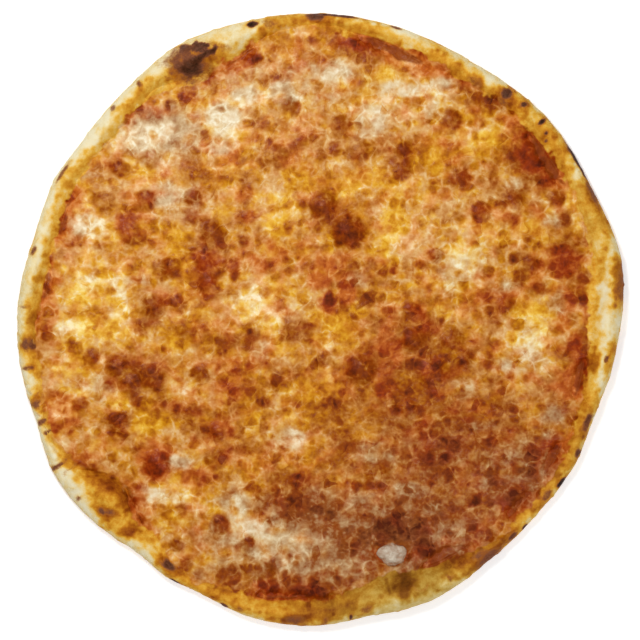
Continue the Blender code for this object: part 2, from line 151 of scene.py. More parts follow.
# Broad soft areas, added up: browner above zero and paler below it. Most are bake that went further
# or less far; the broadest ones also hold painted shade at the lower right and painted light at the
# top.
BAKE_AND_SHADE_AREAS = (
    (-78, 40, 14, 26, 0.6), (-115, 8, 14, 14, 0.4), (-125, -40, 24, 14, 0.7),
    (-137, -70, 11, 9, 0.5), (-72, -76, 13, 11, 0.5), (-110, -97, 11, 10, 0.5),
    (-90, -62, 18, 9, 0.3), (-50, -52, 18, 13, 0.4), (-92, -8, 13, 9, 0.4), (-55, -16, 20, 10, 0.4),
    (-15, -8, 14, 10, 0.5), (-48, 92, 10, 12, 0.35), (-28, 110, 24, 9, 0.4), (15, 130, 11, 11, 0.4),
    (54, 114, 16, 10, 0.45), (4, 74, 16, 13, 0.6), (20, 60, 16, 13, 0.6), (25, 28, 14, 13, 0.4),
    (-86, 100, 9, 14, 0.3), (95, 95, 10, 9, 0.4), (130, 82, 11, 10, 0.6), (136, 110, 19, 15, 0.8),
    (153, 100, 11, 13, 0.6), (112, 150, 20, 11, 0.5), (145, 42, 18, 18, 0.5),
    (166, 45, 13, 24, 0.5), (124, 8, 13, 9, 0.5), (78, 42, 9, 11, 0.4), (60, 0, 15, 11, 0.4),
    (28, -34, 14, 14, 0.6), (62, -14, 12, 12, 0.6), (82, -30, 25, 17, 0.9), (50, -50, 22, 16, 0.6),
    (76, -52, 22, 13, 0.5), (10, -58, 11, 9, 0.5), (18, -83, 11, 10, 0.5), (115, -55, 12, 10, 0.5),
    (100, -70, 27, 11, 0.5), (85, -88, 30, 17, 0.9), (75, -105, 20, 13, 0.5),
    (40, -105, 10, 9, 0.5), (90, -128, 34, 14, 0.9), (140, -92, 18, 15, 0.7),
    (126, -115, 20, 13, 0.7), (-16, -124, 26, 18, 0.95), (46, -143, 32, 13, 1.1),
    (-5, -178, 34, 10, 0.9), (-72, -165, 18, 8, 0.1), (-100, -150, 12, 9, 0.5),
    (-138, -115, 18, 16, 0.3), (-45, -171, 16, 7, 0.4), (-170, 62, 10, 20, 0.3),
    (-130, 60, 13, 9, 0.4), (166, -50, 11, 28, 0.4), (40, 181, 38, 8, 0.6), (176, 20, 9, 32, 0.4),
    (-66, 132, 15, 17, -0.6), (-110, 122, 15, 17, -0.5), (-48, 150, 20, 8, -0.5),
    (12, 163, 12, 9, -0.5), (64, 155, 24, 8, -0.7), (34, 138, 15, 15, -0.5),
    (-155, 60, 19, 11, -0.5), (-158, 25, 15, 18, -0.6), (-135, 14, 11, 22, -0.6),
    (-170, -8, 16, 12, -0.6), (-145, -50, 18, 9, -0.6), (-95, -45, 15, 9, -0.4),
    (-45, 14, 24, 15, -0.55), (-28, 76, 18, 15, -0.4), (50, 94, 16, 11, -0.3),
    (52, 60, 20, 14, -0.5), (94, 42, 20, 17, -0.6), (128, 94, 9, 6, -0.5),
    (104, 122, 16, 11, -0.35), (142, -14, 14, 25, -0.7), (99, -44, 15, 9, -0.3),
    (30, -85, 15, 11, -0.3), (-18, -80, 20, 14, -0.5), (-54, -130, 14, 12, -0.6),
    (-36, -143, 20, 11, -0.7), (-12, -154, 18, 10, -0.45), (8, -166, 20, 9, -0.1),
    (82, -148, 15, 8, -0.4), (-108, -120, 14, 11, -0.4), (-86, -118, 11, 13, -0.3),
    (70, 76, 14, 13, -0.3), (38, -3, 12, 12, 0.35), (-8, 60, 10, 9, 0.3), (20, -95, 16, 14, 0.25),
    (62, -112, 14, 10, 0.3), (100, -92, 14, 10, 0.25), (48, -72, 18, 10, 0.2),
    (-32, 186, 10, 6, 0.35), (10, 188, 10, 6, 0.35), (-150, 92, 9, 8, 0.25), (12, 150, 14, 8, 0.25),
    (148, -42, 10, 14, 0.3), (60, -158, 18, 9, 0.6), (-32, -6, 9, 14, -0.5), (98, 58, 9, 10, -0.4),
    (130, 56, 9, 9, -0.35), (164, 14, 8, 7, -0.4), (-95, -18, 9, 8, -0.35), (133, -30, 8, 8, -0.3),
    # The broadest ovals at the end of this table, with half widths of 45 to 140 mm, are partly
    # painted shade that darkens the lower right and painted light that lightens the top.
    (-88, -95, 12, 7, -0.4), (-76, -130, 12, 8, -0.3), (20, -145, 100, 36, 0.18),
    (0, -75, 35, 30, 0.12), (0, 85, 35, 25, 0.1), (-70, 140, 35, 25, 0.1), (75, -85, 110, 80, 0.13),
    (10, -150, 110, 35, 0.12), (150, 90, 45, 60, -0.1), (-60, 110, 140, 80, -0.09),
    (-20, -8, 20, 22, -0.3), (60, 70, 20, 16, 0.22), (-40, 50, 25, 20, 0.12),
    (12, -155, 14, 12, 0.45), (60, 180, 22, 10, -0.3), (20, 85, 14, 10, -0.2),
    (-35, 100, 16, 10, -0.2), (95, 75, 10, 22, -0.25), (50, 35, 12, 8, -0.2),
    (-165, -40, 14, 14, -0.35), (-88, -143, 10, 8, -0.25), (-15, -120, 12, 8, -0.3),
    (40, -15, 14, 18, 0.15), (35, -85, 25, 16, 0.15), (138, -65, 20, 20, 0.15),
    (-30, -65, 12, 8, 0.15), (-110, -55, 14, 10, 0.15), (-55, 35, 12, 12, 0.12),
    (15, 38, 8, 8, 0.2), (45, 150, 12, 8, 0.15), (-78, 160, 8, 12, 0.2), (185, -8, 6, 14, 0.2),
    (150, 35, 12, 14, -0.2), (92, 5, 12, 8, -0.25), (150, 108, 10, 10, -0.2),
    (-22, 150, 8, 10, -0.2), (-175, 52, 8, 12, -0.3), (-55, -163, 14, 7, -0.3),
    (86, -46, 10, 8, -0.3), (70, 140, 12, 8, -0.3), (60, 173, 14, 7, -0.3),
)
# How much browner the cheese is beside the rim: (degrees, change). It starts at the first of
# the band's depths, is full between the next two, and has faded out at the last.
EDGE_BAND = (10, 14, 21, 30)
EDGE_BROWN = (
    (0, 0.08), (30, -0.08), (48, 0.02), (58, 0.1), (66, 0), (72, -0.12), (80, 0.06), (86, 0.12),
    (92, -0.04), (98, 0.06), (104, -0.05), (114, 0.04), (126, -0.08), (132, 0.12), (138, -0.1),
    (146, 0), (156, -0.14), (162, -0.04), (176, 0), (181, 0.15), (187, 0), (192, -0.06),
    (200, -0.22), (205, -0.18), (211, 0.34), (222, 0.24), (230, -0.02), (240, -0.2), (246, 0),
    (252, 0.15), (258, -0.04), (264, 0.1), (272, 0.25), (282, -0.1), (289, 0.22), (300, 0.06),
    (318, 0.1), (330, -0.04), (337, 0.06), (348, -0.1), (354, 0.25),
)
# Browned spots in the cheese: (x, y, half width, half height), by how much browner they are.
SPOTS = {
    0.13: (
        (-116, 105, 6, 5), (-150, 93, 5, 5), (-129, 65, 6, 9), (-163, 52, 6, 5), (-148, 50, 4, 4),
        (-86, 104, 8, 6), (-14, 117, 6, 4), (-27, 130, 6, 5), (-40, 131, 5, 4), (-45, 139, 5, 3),
        (-23, 165, 5, 9), (-88, 152, 8, 6), (-72, 95, 8, 5), (-27, 76, 4, 4), (-41, 57, 4, 4),
        (-16, 45, 6, 5), (-2, 48, 4, 4), (-124, 37, 6, 4), (-152, 30, 4, 3), (-155, 5, 6, 4),
        (-25, 16, 5, 4), (-38, 18, 4, 4), (13, 121, 5, 5), (45, 122, 4, 3), (76, 122, 5, 3),
        (50, 103, 8, 7), (44, 94, 4, 4), (90, 112, 6, 5), (64, 145, 4, 4), (74, 149, 4, 3),
        (91, 149, 4, 4), (49, 141, 3, 3), (105, 130, 6, 6), (82, 170, 5, 3), (55, 167, 7, 4),
        (132, 141, 6, 4), (130, 106, 7, 5), (127, 97, 4, 4), (84, 84, 4, 4), (92, 68, 6, 4),
        (74, 74, 5, 5), (68, 64, 3, 3), (98, 37, 4, 4), (70, 36, 4, 4), (122, 47, 6, 4),
        (143, 50, 5, 4), (108, 29, 6, 3), (156, 11, 4, 4), (80, 3, 5, 4), (70, 12, 6, 4),
        (-24, -42, 7, 6), (-66, -45, 4, 5), (-38, -88, 7, 4), (-65, -106, 6, 4), (-72, -95, 6, 5),
        (-93, -127, 4, 4), (-72, -148, 6, 4), (-57, -167, 4, 4), (-10, -153, 5, 3),
        (112, -30, 6, 8), (145, -25, 4, 3), (128, -58, 5, 4), (131, -93, 6, 6), (105, -100, 5, 4),
        (3, -97, 5, 5), (14, -57, 5, 4), (143, -52, 6, 4), (115, -155, 8, 5), (-53, -98, 3, 3),
    ),
    0.24: (
        (-111, 136, 5, 5), (-134, 102, 7, 4), (-148, 79, 7, 5), (-115, 80, 5, 7), (-86, 81, 6, 6),
        (-86, 69, 6, 6), (-55, 108, 6, 5), (-29, 109, 8, 7), (-78, 123, 3, 3), (-46, 175, 7, 4),
        (-72, 156, 3, 6), (-50, 85, 4, 10), (-50, 69, 7, 5), (-22, 62, 3, 4), (-53, 52, 4, 5),
        (-108, 33, 7, 7), (-99, 35, 4, 6), (-76, 26, 6, 8), (-70, 17, 6, 5), (-35, 35, 5, 5),
        (-8, 34, 5, 5), (-94, 9, 5, 5), (-60, 17, 5, 5), (-180, 43, 4, 4), (0, 110, 4, 5),
        (14, 131, 5, 7), (9, 117, 4, 3), (22, 112, 5, 4), (30, 111, 4, 5), (56, 100, 4, 6),
        (88, 133, 4, 7), (112, 147, 5, 4), (97, 157, 4, 4), (137, 127, 8, 6), (116, 95, 3, 8),
        (142, 95, 6, 5), (94, 94, 6, 6), (158, 81, 6, 4), (108, 72, 6, 6), (128, 67, 4, 4),
        (133, 40, 4, 4), (134, 27, 4, 6), (146, 20, 7, 5), (163, 42, 6, 8), (176, 28, 4, 6),
        (112, 17, 7, 4), (22, 34, 5, 4), (35, 37, 3, 4), (32, 13, 6, 5), (45, 5, 5, 3),
        (-115, -2, 8, 3), (-62, -14, 9, 5), (-13, -9, 8, 6), (-165, -19, 6, 4), (-154, -25, 5, 5),
        (-126, -37, 6, 5), (-128, -46, 8, 6), (-141, -45, 5, 5), (-85, -36, 7, 3), (-55, -37, 5, 3),
        (-60, -53, 3, 5), (-177, -52, 7, 5), (-161, -58, 6, 5), (-94, -62, 5, 4), (-90, -73, 5, 5),
        (-77, -76, 6, 4), (-56, -76, 5, 6), (-38, -73, 3, 8), (-172, -72, 9, 6), (-50, -88, 7, 4),
        (-90, -106, 4, 5), (-77, -108, 8, 5), (-30, -107, 5, 4), (-15, -110, 7, 6),
        (-5, -118, 5, 4), (-40, -128, 5, 3), (-33, -135, 3, 3), (-68, -138, 6, 7),
        (-90, -165, 5, 6), (88, -14, 8, 6), (5, -57, 6, 4), (27, -53, 5, 4), (52, -50, 8, 6),
        (12, -77, 10, 4), (20, -87, 5, 4), (72, -75, 6, 5), (57, -75, 4, 4), (95, -70, 5, 5),
        (85, -85, 12, 5), (107, -84, 8, 5), (70, -93, 6, 5), (73, -103, 7, 3), (84, -108, 8, 5),
        (8, -126, 7, 5), (30, -128, 6, 8), (50, -130, 6, 6), (92, -127, 6, 4), (13, -143, 12, 5),
        (33, -145, 9, 7), (103, -143, 6, 8), (170, -20, 5, 8), (119, -41, 4, 4), (67, -30, 7, 8),
    ),
    0.38: (
        (-101, 143, 4, 4), (-121, 141, 3, 4), (-169, 83, 4, 4), (-174, 64, 4, 7), (-35, 119, 3, 3),
        (-18, 141, 3, 6), (-76, 165, 4, 7), (-58, 33, 3, 8), (56, 115, 4, 4), (123, 151, 5, 5),
        (98, 163, 4, 3), (143, 110, 9, 11), (155, 102, 5, 9), (126, 111, 3, 4), (131, 80, 6, 4),
        (165, 67, 5, 5), (78, 43, 3, 5), (143, 37, 4, 4), (61, 6, 5, 4), (6, 12, 4, 7),
        (-45, -11, 4, 4), (-125, -55, 4, 5), (-37, -56, 3, 5), (-84, -61, 5, 4), (-28, -122, 4, 3),
        (-24, -131, 5, 3), (-12, -133, 8, 4), (-49, -151, 5, 5), (-97, -152, 5, 4),
        (-63, -170, 6, 3), (-31, -164, 4, 4), (-23, -172, 3, 3), (-34, -181, 8, 4),
        (-12, -183, 9, 4), (97, -28, 5, 7), (78, -35, 4, 9), (50, -63, 4, 5), (63, -62, 6, 4),
        (115, -77, 5, 3), (148, -89, 13, 5), (140, -108, 8, 8), (120, -111, 7, 4),
        (130, -120, 6, 6), (64, -137, 5, 4), (48, -145, 8, 5), (66, -146, 9, 5), (34, -160, 5, 4),
        (76, -157, 7, 3), (92, -161, 5, 4), (176, -38, 4, 9), (0, -28, 4, 4),
    ),
}
# Sauce that shows through or lies bare: (x, y, half width, half height, strength).
SAUCE_STAINS = (
    (37, 186, 25, 5, 1.0), (18, 189, 9, 4, 0.8), (57, 177, 11, 4, 1.0), (143, 110, 10, 12, 0.9),
    (155, 100, 5, 9, 1.0), (134, 130, 9, 9, 0.6), (175, -40, 5, 11, 1.0), (152, -90, 12, 9, 0.8),
    (129, -120, 7, 7, 0.9), (66, -146, 9, 6, 1.0), (48, -140, 11, 7, 0.9), (62, -158, 12, 7, 1.0),
    (78, -157, 8, 4, 1.0), (104, -108, 11, 9, 0.3), (-36, -180, 8, 4, 1.0), (-10, -182, 9, 4, 0.8),
    (-46, 176, 7, 4, 0.7), (-182, 26, 3, 14, 0.9), (-174, 64, 4, 8, 0.9), (-125, -136, 6, 5, 0.6),
    (-2, 25, 8, 6, 0.9), (5, 11, 6, 9, 1.0), (18, 16, 7, 6, 1.0), (6, 34, 5, 6, 0.8),
    (-50, 69, 7, 5, 0.5), (-111, 137, 9, 6, 0.6), (164, 37, 9, 11, 0.8), (166, 12, 5, 14, 0.5),
    (-172, -64, 14, 12, 0.6), (-77, 26, 9, 16, 0.5), (-130, 64, 8, 10, 0.5), (-88, 150, 8, 6, 0.5),
    (45, -24, 9, 22, 0.6), (66, 4, 6, 6, 0.4), (-110, -96, 12, 14, 0.6), (-60, -42, 16, 12, 0.3),
    (170, -20, 6, 9, 0.7), (-180, 8, 4, 14, 0.5), (33, -160, 6, 6, 0.6), (-80, -108, 14, 7, 0.4),
    (-76, 164, 4, 7, 0.5),
)
# Where the cheese is oilier and yellower: (x, y, half width, half height, strength).
OILY_PATCHES = (
    (40, -135, 120, 45, 0.32), (-115, -71, 10, 8, 1.6), (50, 166, 10, 7, 1.0), (50, 68, 8, 13, 0.6),
    (145, 58, 10, 9, 0.8), (-26, 72, 13, 15, 0.8), (-10, 96, 13, 9, 0.8), (30, 90, 30, 10, 0.7),
    (70, 108, 11, 11, 1.0), (-93, 25, 9, 18, 0.9), (-90, 50, 9, 9, 0.9), (-162, -12, 10, 26, 0.9),
    (-155, 30, 9, 14, 0.6), (-135, -12, 13, 12, 0.8), (12, -12, 18, 12, 0.9),
    (-18, -16, 10, 8, 0.6), (-46, -65, 9, 26, 0.7), (0, -55, 22, 14, 0.7), (26, -75, 12, 14, 0.6),
    (62, -46, 14, 7, 0.8), (140, 0, 12, 14, 0.6), (114, 116, 9, 9, 0.7), (73, -165, 16, 6, 1.0),
    (-104, -133, 8, 9, 0.8), (-88, 150, 14, 8, 0.8), (10, 3, 18, 7, 0.9), (-128, 100, 14, 6, 0.5),
    (82, -18, 18, 8, 0.4), (-55, 178, 16, 5, 0.5), (135, 140, 12, 9, 0.8), (-72, 95, 16, 10, 0.4),
)
# Whiter and greyer patches: (x, y, half width, half height, strength).
PALE_PATCHES = (
    (-99, 130, 9, 8, 1.0), (-113, 119, 11, 8, 1.0), (-66, 133, 12, 13, 1.0), (-50, 151, 11, 6, 1.0),
    (-68, 117, 11, 6, 0.6), (-103, 84, 13, 9, 0.8), (-160, 63, 10, 8, 0.7), (-155, 24, 7, 7, 0.5),
    (-125, 26, 14, 4, 0.5), (-24, 152, 12, 10, 0.8), (-8, 166, 10, 8, 0.6), (-157, 99, 8, 5, 0.5),
    (10, 164, 12, 9, 0.9), (56, 155, 18, 6, 0.9), (82, 158, 10, 5, 0.7), (33, 135, 12, 13, 0.8),
    (76, 140, 10, 8, 0.5), (88, 34, 11, 18, 0.5), (130, 90, 8, 5, 0.5), (156, 66, 7, 6, 0.6),
    (125, 22, 10, 5, 0.5), (161, 11, 8, 9, 0.5), (24, 27, 8, 5, 0.5), (-172, -8, 10, 7, 0.4),
    (-150, -47, 11, 11, 0.5), (-95, -45, 9, 8, 0.4), (-95, -97, 8, 6, 0.8),
    (-58, -126, 12, 12, 0.9), (-40, -143, 14, 7, 1.0), (-18, -148, 20, 9, 0.9),
    (-5, -165, 14, 7, 0.9), (-116, -118, 12, 6, 0.6), (-82, -172, 5, 5, 0.6),
    (-62, -160, 9, 6, 0.6), (-20, -80, 14, 8, 0.6), (-40, -20, 8, 10, 0.4), (140, -20, 9, 15, 0.6),
    (129, -31, 11, 6, 0.6), (95, -47, 9, 8, 0.5), (38, -90, 14, 9, 0.7), (58, -115, 16, 6, 0.9),
    (75, -129, 12, 7, 0.9), (84, -147, 9, 8, 1.0), (8, -163, 15, 8, 1.0), (28, -173, 11, 5, 0.8),
    (156, -64, 9, 9, 0.8), (155, -79, 7, 4, 0.7), (105, -72, 14, 4, 0.6), (135, -100, 10, 5, 0.5),
    (0, -115, 14, 6, 0.5), (110, -135, 12, 8, 0.4), (20, -148, 95, 32, 0.8), (98, 40, 14, 14, 0.45),
    (-45, 14, 14, 10, 0.2), (70, -95, 45, 30, 0.35), (-105, 125, 28, 18, 0.9),
    (-20, 158, 75, 16, 0.4), (130, -105, 32, 25, 0.6), (-95, 80, 22, 13, 0.45),
)
# How far in the dough is pale, and then golden, before cheese covers it: (degrees, depth).
PALE_DOUGH = (
    (0, 15), (8, 15), (13, 8), (16, 1), (27, 1), (29, 6), (33, 4), (40, 1), (50, 0), (54, 6),
    (60, 4), (70, 4), (78, 2), (92, 1), (101, 1), (104, 12), (110, 13), (115, 8), (121, 9),
    (126, 6), (137, 7), (148, 6), (152, 3), (156, 6), (176, 7), (183, 2), (190, 7), (196, 3),
    (206, 6), (213, 9), (216, 11), (220, 5), (228, 3), (234, 6), (238, 1), (250, 0), (262, 0),
    (272, 1), (279, 4), (284, 8), (289, 6), (295, 7), (300, 2), (320, 0), (335, 1), (343, 3),
    (348, 8), (357, 13),
)
GOLDEN_DOUGH = (
    (0, 23), (8, 23), (14, 19), (20, 15), (28, 13), (36, 14), (45, 14), (52, 12), (60, 14),
    (68, 12), (80, 13), (86, 14), (93, 10), (98, 9), (104, 15), (110, 22), (117, 28), (122, 23),
    (127, 16), (138, 14), (148, 14), (160, 15), (178, 15), (184, 11), (190, 13), (197, 9), (205, 9),
    (211, 18), (219, 33), (227, 19), (233, 16), (238, 11), (245, 6), (251, 12), (260, 15),
    (272, 18), (280, 22), (287, 27), (294, 22), (300, 16), (306, 11), (325, 9), (336, 11),
    (343, 14), (350, 17),
)
# How much browner than elsewhere the rim is baked: (degrees, change).
RIM_BAKE = (
    (0, 0), (14, 0), (20, 0), (30, 0.02), (45, 0.05), (56, 0.03), (75, -0.02), (92, 0.08), (104, 0),
    (150, 0), (185, 0.05), (200, 0.05), (212, 0), (228, 0), (234, -0.04), (240, 0.1), (252, 0.1),
    (258, 0.03), (265, 0.16), (278, 0.16), (290, 0.17), (300, 0.14), (320, 0.13), (338, 0.05),
    (350, 0),
)
# Where the rim is greener: (degrees, share).
OLIVE_DOUGH = (
    (0, 0), (22, 0.2), (40, 0.1), (70, 0), (118, 0.2), (150, 0.1), (175, 0.2), (200, 0.1), (225, 0),
    (245, 0), (265, 0.1), (276, 0.7), (292, 0.9), (301, 0.4), (320, 0.2), (340, 0.2), (352, 0),
)
# Browned marks on the rim, black at strength 1; the mark at 6 degrees is painted shade on the rim's
# outer right side, which curves down away from the light: (degrees, depth, half length along the
# rim, half width, strength).
CHAR_MARKS = (
    (117, 13, 18, 10, 0.3), (6, 2, 15, 6, 0.45), (25, 2, 12, 2.5, 0.55), (32, 0.8, 16, 1.8, 0.85),
    (41.7, 5, 2, 3.5, 0.95), (39.5, 8, 1.6, 1.6, 0.75), (38.3, 11, 1.6, 1.6, 0.6),
    (46.5, 5, 2.2, 2.2, 0.75), (50.5, 6, 4.5, 4.5, 0.8), (50, 13, 5, 4, 0.5), (57, 11, 6, 3, 0.45),
    (75.6, 1.4, 5, 1.2, 0.6), (87, 1.2, 18, 1.3, 0.75), (91, 3, 7, 3, 0.75), (100, 5, 5, 4, 0.45),
    (103.1, 3.6, 4, 2.5, 0.95), (127.6, 4.5, 2, 3, 0.55), (134.6, 3, 3, 2.5, 0.5),
    (150.5, 3, 10, 1.8, 0.55), (166.5, 3.5, 5, 2.2, 0.55), (177.7, 5, 1.5, 3, 0.45),
    (185, 6, 6, 4, 0.55), (185, 10.5, 5.5, 4, 0.6), (189.5, 5.5, 2, 5, 0.55),
    (196.7, 4.5, 3.5, 5, 0.6), (200.2, 5, 2.2, 4.5, 0.6), (202.6, 6, 2.5, 4, 0.55),
    (209.3, 6, 1.6, 6.5, 0.6), (216.6, 4.5, 2.6, 2.6, 0.5), (221.3, 10, 4, 2.6, 0.64),
    (222.5, 13, 3, 3, 0.55), (238.5, 8, 6.5, 3.5, 0.75), (237.5, 19, 4, 3, 0.6),
    (241, 0.5, 4, 1.2, 0.8), (251.5, 1, 3, 1.5, 0.75), (254.5, 3.5, 3, 2, 0.4),
    (265, 4, 8, 3.5, 0.5), (271, 3, 2, 3, 0.5), (275.8, 3, 1.6, 3, 0.8), (279, 6, 5, 3, 0.5),
    (296.5, 8, 1.6, 3, 0.45), (305, 3, 13, 3, 0.6), (304, 7.5, 6, 3, 0.5), (311.5, 2.5, 6, 2, 0.65),
    (314.5, 1, 3, 1.2, 0.8), (322, 4, 5, 2.5, 0.55), (326, 1.5, 5, 2, 0.95),
    (332.5, 2.5, 4, 2.5, 0.7), (339, 4, 8, 3, 0.65), (352, 6.5, 3.6, 2, 0.6),
)
# Browner patches of the rim; the patch at 7.5 degrees is painted shade on the rim's outer right
# side: (degrees, depth, half length along the rim, half width, change).
BROWN_MARKS = (
    (219, 25, 31, 9, 0.16), (222, 11, 9, 7, 0.2), (117, 14, 18, 11, 0.25), (265, 4, 10, 4, 0.2),
    # The patch at 7.5 degrees is painted shade on the rim's outer right side, not browning.
    (305, 3, 16, 4, 0.2), (352.5, 3, 14, 4, 0.45), (7.5, 3.5, 18, 6, 0.55), (25, 3, 12, 4, 0.2),
    (240, 8, 9, 5, 0.2), (288, 18, 10, 7, 0.3), (152, 10, 4, 8, 0.25), (297, 12, 6, 8, 0.15),
    (90, 5, 14, 4, 0.15), (351.5, 13, 8, 5, 0.4), (348, 18, 18, 4, 0.25), (180, 13, 6, 5, 0.25),
    (228, 11, 5, 5, 0.2), (300, 12, 6, 5, 0.25), (276, 11, 5, 4, 0.2), (50, 9, 12, 5, 0.2),
    (68, 2, 14, 3, 0.28), (228, 11, 6, 6, 0.15), (311, 4, 8, 4, 0.2), (210, 21, 8, 6, 0.2),
    (216, 27, 12, 7, 0.2), (223, 27, 12, 7, 0.2), (228, 20, 7, 6, 0.2),
)
# Dark lines and creases in the rim's bubbles, or light ones where the strength is below zero:
# (x, y, to x, to y, half width, strength).
CHAR_LINES = (
    (-93, 173, -85, 171, 8, 0.6), (-91, 181, -79, 180, 3.2, 0.72), (-90, 168, -85, 168, 3.8, 0.84),
    (-101, 172, -98, 178, 4.5, 0.46), (-84, 184.5, -76, 183, 1.5, 0.8),
    (-78, 166, -72, 172, 4, 0.4), (-87, 178.5, -78, 175, 1.2, -0.36),
    (-75, 174, -71, 172, 2.4, -0.22), (-104, 178, -100, 182, 1.6, -0.2),
    (-93, 174, -91, 170, 1.8, -0.1), (-84, 172.5, -71, 180.5, 1.7, 0.8),
    (-103, 162, -92, 161, 1.0, 0.36), (-92, 161, -86, 159, 2.0, 0.5),
    (-90, 160, -75, 163, 3.0, 0.4), (-74, 184, -62, 181, 2.6, 0.34),
    (-108, 171, -102, 168, 3, 0.24), (-172, -105, -162, -94, 1.0, 0.34),
    (-180, -100, -171, -94, 1.2, 0.36),
)

# ------------------------------
# Numbers: curves round the rim, noise and scattered spots.

GRADIENTS = np.random.default_rng(7).normal(size=(64, 3))
GRADIENTS /= np.linalg.norm(GRADIENTS, axis=1, keepdims=True)


def around(table, degrees):
    """The values at some angles of the smooth closed curve through a table of (degrees, value)."""
    angles, values = np.array(table, float).T
    angles = np.concatenate([angles[-2:] - 360, angles, angles[:2] + 360])
    values = np.concatenate([values[-2:], values, values[:2]])
    slopes = np.gradient(values, angles)
    degrees = np.asarray(degrees, float) % 360
    low = np.searchsorted(angles, degrees, side="right") - 1
    span = angles[low + 1] - angles[low]
    t = (degrees - angles[low]) / span
    from_low = (1 + 2 * t) * (1 - t) ** 2 * values[low] + t * (1 - t) ** 2 * span * slopes[low]
    from_high = t**2 * (3 - 2 * t) * values[low + 1] - t**2 * (1 - t) * span * slopes[low + 1]
    return from_low + from_high


def smoothstep(t):
    t = np.clip(t, 0, 1)
    return t * t * (3 - 2 * t)


def mix(a, b, share):
    return a + (b - a) * share


def dome(away):
    """A blister's section: 1 in the middle, and 0 from 1 outwards."""
    return np.clip(1 - away**2, 0, 1) ** 1.3


def random_at(seed, *lattice):
    """A repeatable random number from 0 to 1 for each lattice point."""
    mixed = np.int64(seed * 974634777)
    for axis, prime in zip(lattice, (374761393, 668265263, 2246822519)):
        mixed = (mixed + axis.astype(np.int64) * prime) & 0xFFFFFFFF
        mixed = ((mixed ^ (mixed >> 13)) * 1274126177) & 0xFFFFFFFF
    return (mixed ^ (mixed >> 16)) / 2.0**32


def waves(x, y, length, seed, z=0.0):
    """Smooth noise, mostly from -1 to 1, whose bumps are about length apart."""
    places = np.stack(np.broadcast_arrays(x, y, np.asarray(z, float)), -1) / length
    corner = np.floor(places)
    inside = places - corner
    fade = inside**3 * (inside * (inside * 6 - 15) + 10)
    total = np.zeros(places.shape[:-1])
    for step in itertools.product((0, 1), repeat=3):
        at = corner + step
        pick = random_at(seed, at[..., 0], at[..., 1], at[..., 2]) * len(GRADIENTS)
        slope = (GRADIENTS[pick.astype(int)] * (inside - step)).sum(-1)
        total += slope * np.prod(np.where(step, fade, 1 - fade), axis=-1)
    return 1.8 * total


def layered_waves(x, y, lengths_and_shares, seed, z=0.0):
    """The sum of noises, given as (length, share), each with a seed one higher."""
    return sum(
        share * waves(x, y, length, seed + i, z)
        for i, (length, share) in enumerate(lengths_and_shares)
    )


def scattered(x, y, cell, smallest, largest, seed, chance):
    """Soft round spots, at most one to a cell of that size: 0 outside them and up to 1 inside."""
    column, row = np.floor(x / cell), np.floor(y / cell)
    found = np.zeros(np.shape(x))
    for right, up in itertools.product((-1, 0, 1), repeat=2):
        c, r = column + right, row + up
        centre_x = (c + random_at(seed, c, r)) * cell
        centre_y = (r + random_at(seed + 1, c, r)) * cell
        radius = mix(smallest, largest, random_at(seed + 2, c, r) ** 2)
        strength = mix(0.45, 1.0, random_at(seed + 3, c, r))
        there = random_at(seed + 4, c, r) < chance
        away = np.hypot(x - centre_x, y - centre_y) / radius
        found = np.maximum(found, there * strength * smoothstep((1.2 - away) / 0.75))
    return found


def patches(x, y, table, softness):
    """The strongest of a table of soft ovals at each point."""
    found = np.zeros(np.shape(x))
    for px, py, half_width, half_height, strength in table:
        away = np.hypot((x - px) / half_width, (y - py) / half_height)
        found = np.maximum(found, strength * smoothstep((1 + softness / 2 - away) / softness))
    return found


def added_up(x, y, table):
    """The sum of a table of broad soft ovals at each point."""
    total = np.zeros(np.shape(x))
    for px, py, half_width, half_height, strength in table:
        away = ((x - px) / half_width) ** 2 + ((y - py) / half_height) ** 2
        total += strength * np.exp(-1.2 * away)
    return total


# ------------------------------
# The pizza's form, as its solids have it, in plan and in height.


def polar(radius, degrees):
    turn = np.radians(degrees)
    return radius * np.cos(turn), radius * np.sin(turn)


def on_plan(degrees, depth):
    return polar(around(OUTLINE, degrees) - depth, degrees)


def degrees_and_depth(x, y):
    degrees = np.degrees(np.arctan2(y, x))
    return degrees, around(OUTLINE, degrees) - np.hypot(x, y)


def cheese_edge(degrees):
    return around(RIM_WIDTH, degrees) + around(CHEESE_INSET, degrees)


def sauce_edge(degrees):
    return np.minimum(around(RIM_WIDTH, degrees), cheese_edge(degrees) - SAUCE_SHOWING)


def ragged(degrees, edge, lengths_and_shares, seed):
    """An edge's depths with small irregular tongues and notches."""
    return edge + layered_waves(*on_plan(degrees, edge), lengths_and_shares, seed)


def ragged_sauce_edge(degrees):
    return ragged(degrees, sauce_edge(degrees), ((14, 0.5), (5, 0.35)), seed=301)


def bare_sauce(degrees):
    """1 where a bay of bare sauce lies between the cheese and the rim, and 0 where none does."""
    return smoothstep((around(CHEESE_INSET, degrees) - 1.5) / 3)


def ragged_cheese_edge(degrees):
    """The cheese's visible edge, which laps onto the dough where no sauce lies bare."""
    bare = bare_sauce(degrees)
    edge = mix(sauce_edge(degrees) - 1.5, cheese_edge(degrees), 0.6 * bare)
    waver = ragged(degrees, 0 * edge, ((16, 1.0), (7, 1.1), (3.5, 0.7)), seed=311)
    return np.maximum(edge + waver * (1 + 0.5 * bare), sauce_edge(degrees) - 2.5)


def foot_depth(degrees):
    return around(RIM_WIDTH, degrees) + FOOT_RUN


def slope_height(degrees, depth):
    """The dough's top from the crest inwards, without its bubbles."""
    crest = CREST_AT * around(RIM_WIDTH, degrees)
    height = around(RIM_HEIGHT, degrees)
    fall = smoothstep((depth - crest) / (foot_depth(degrees) - crest))
    return mix(height, BASE_THICKNESS, fall)


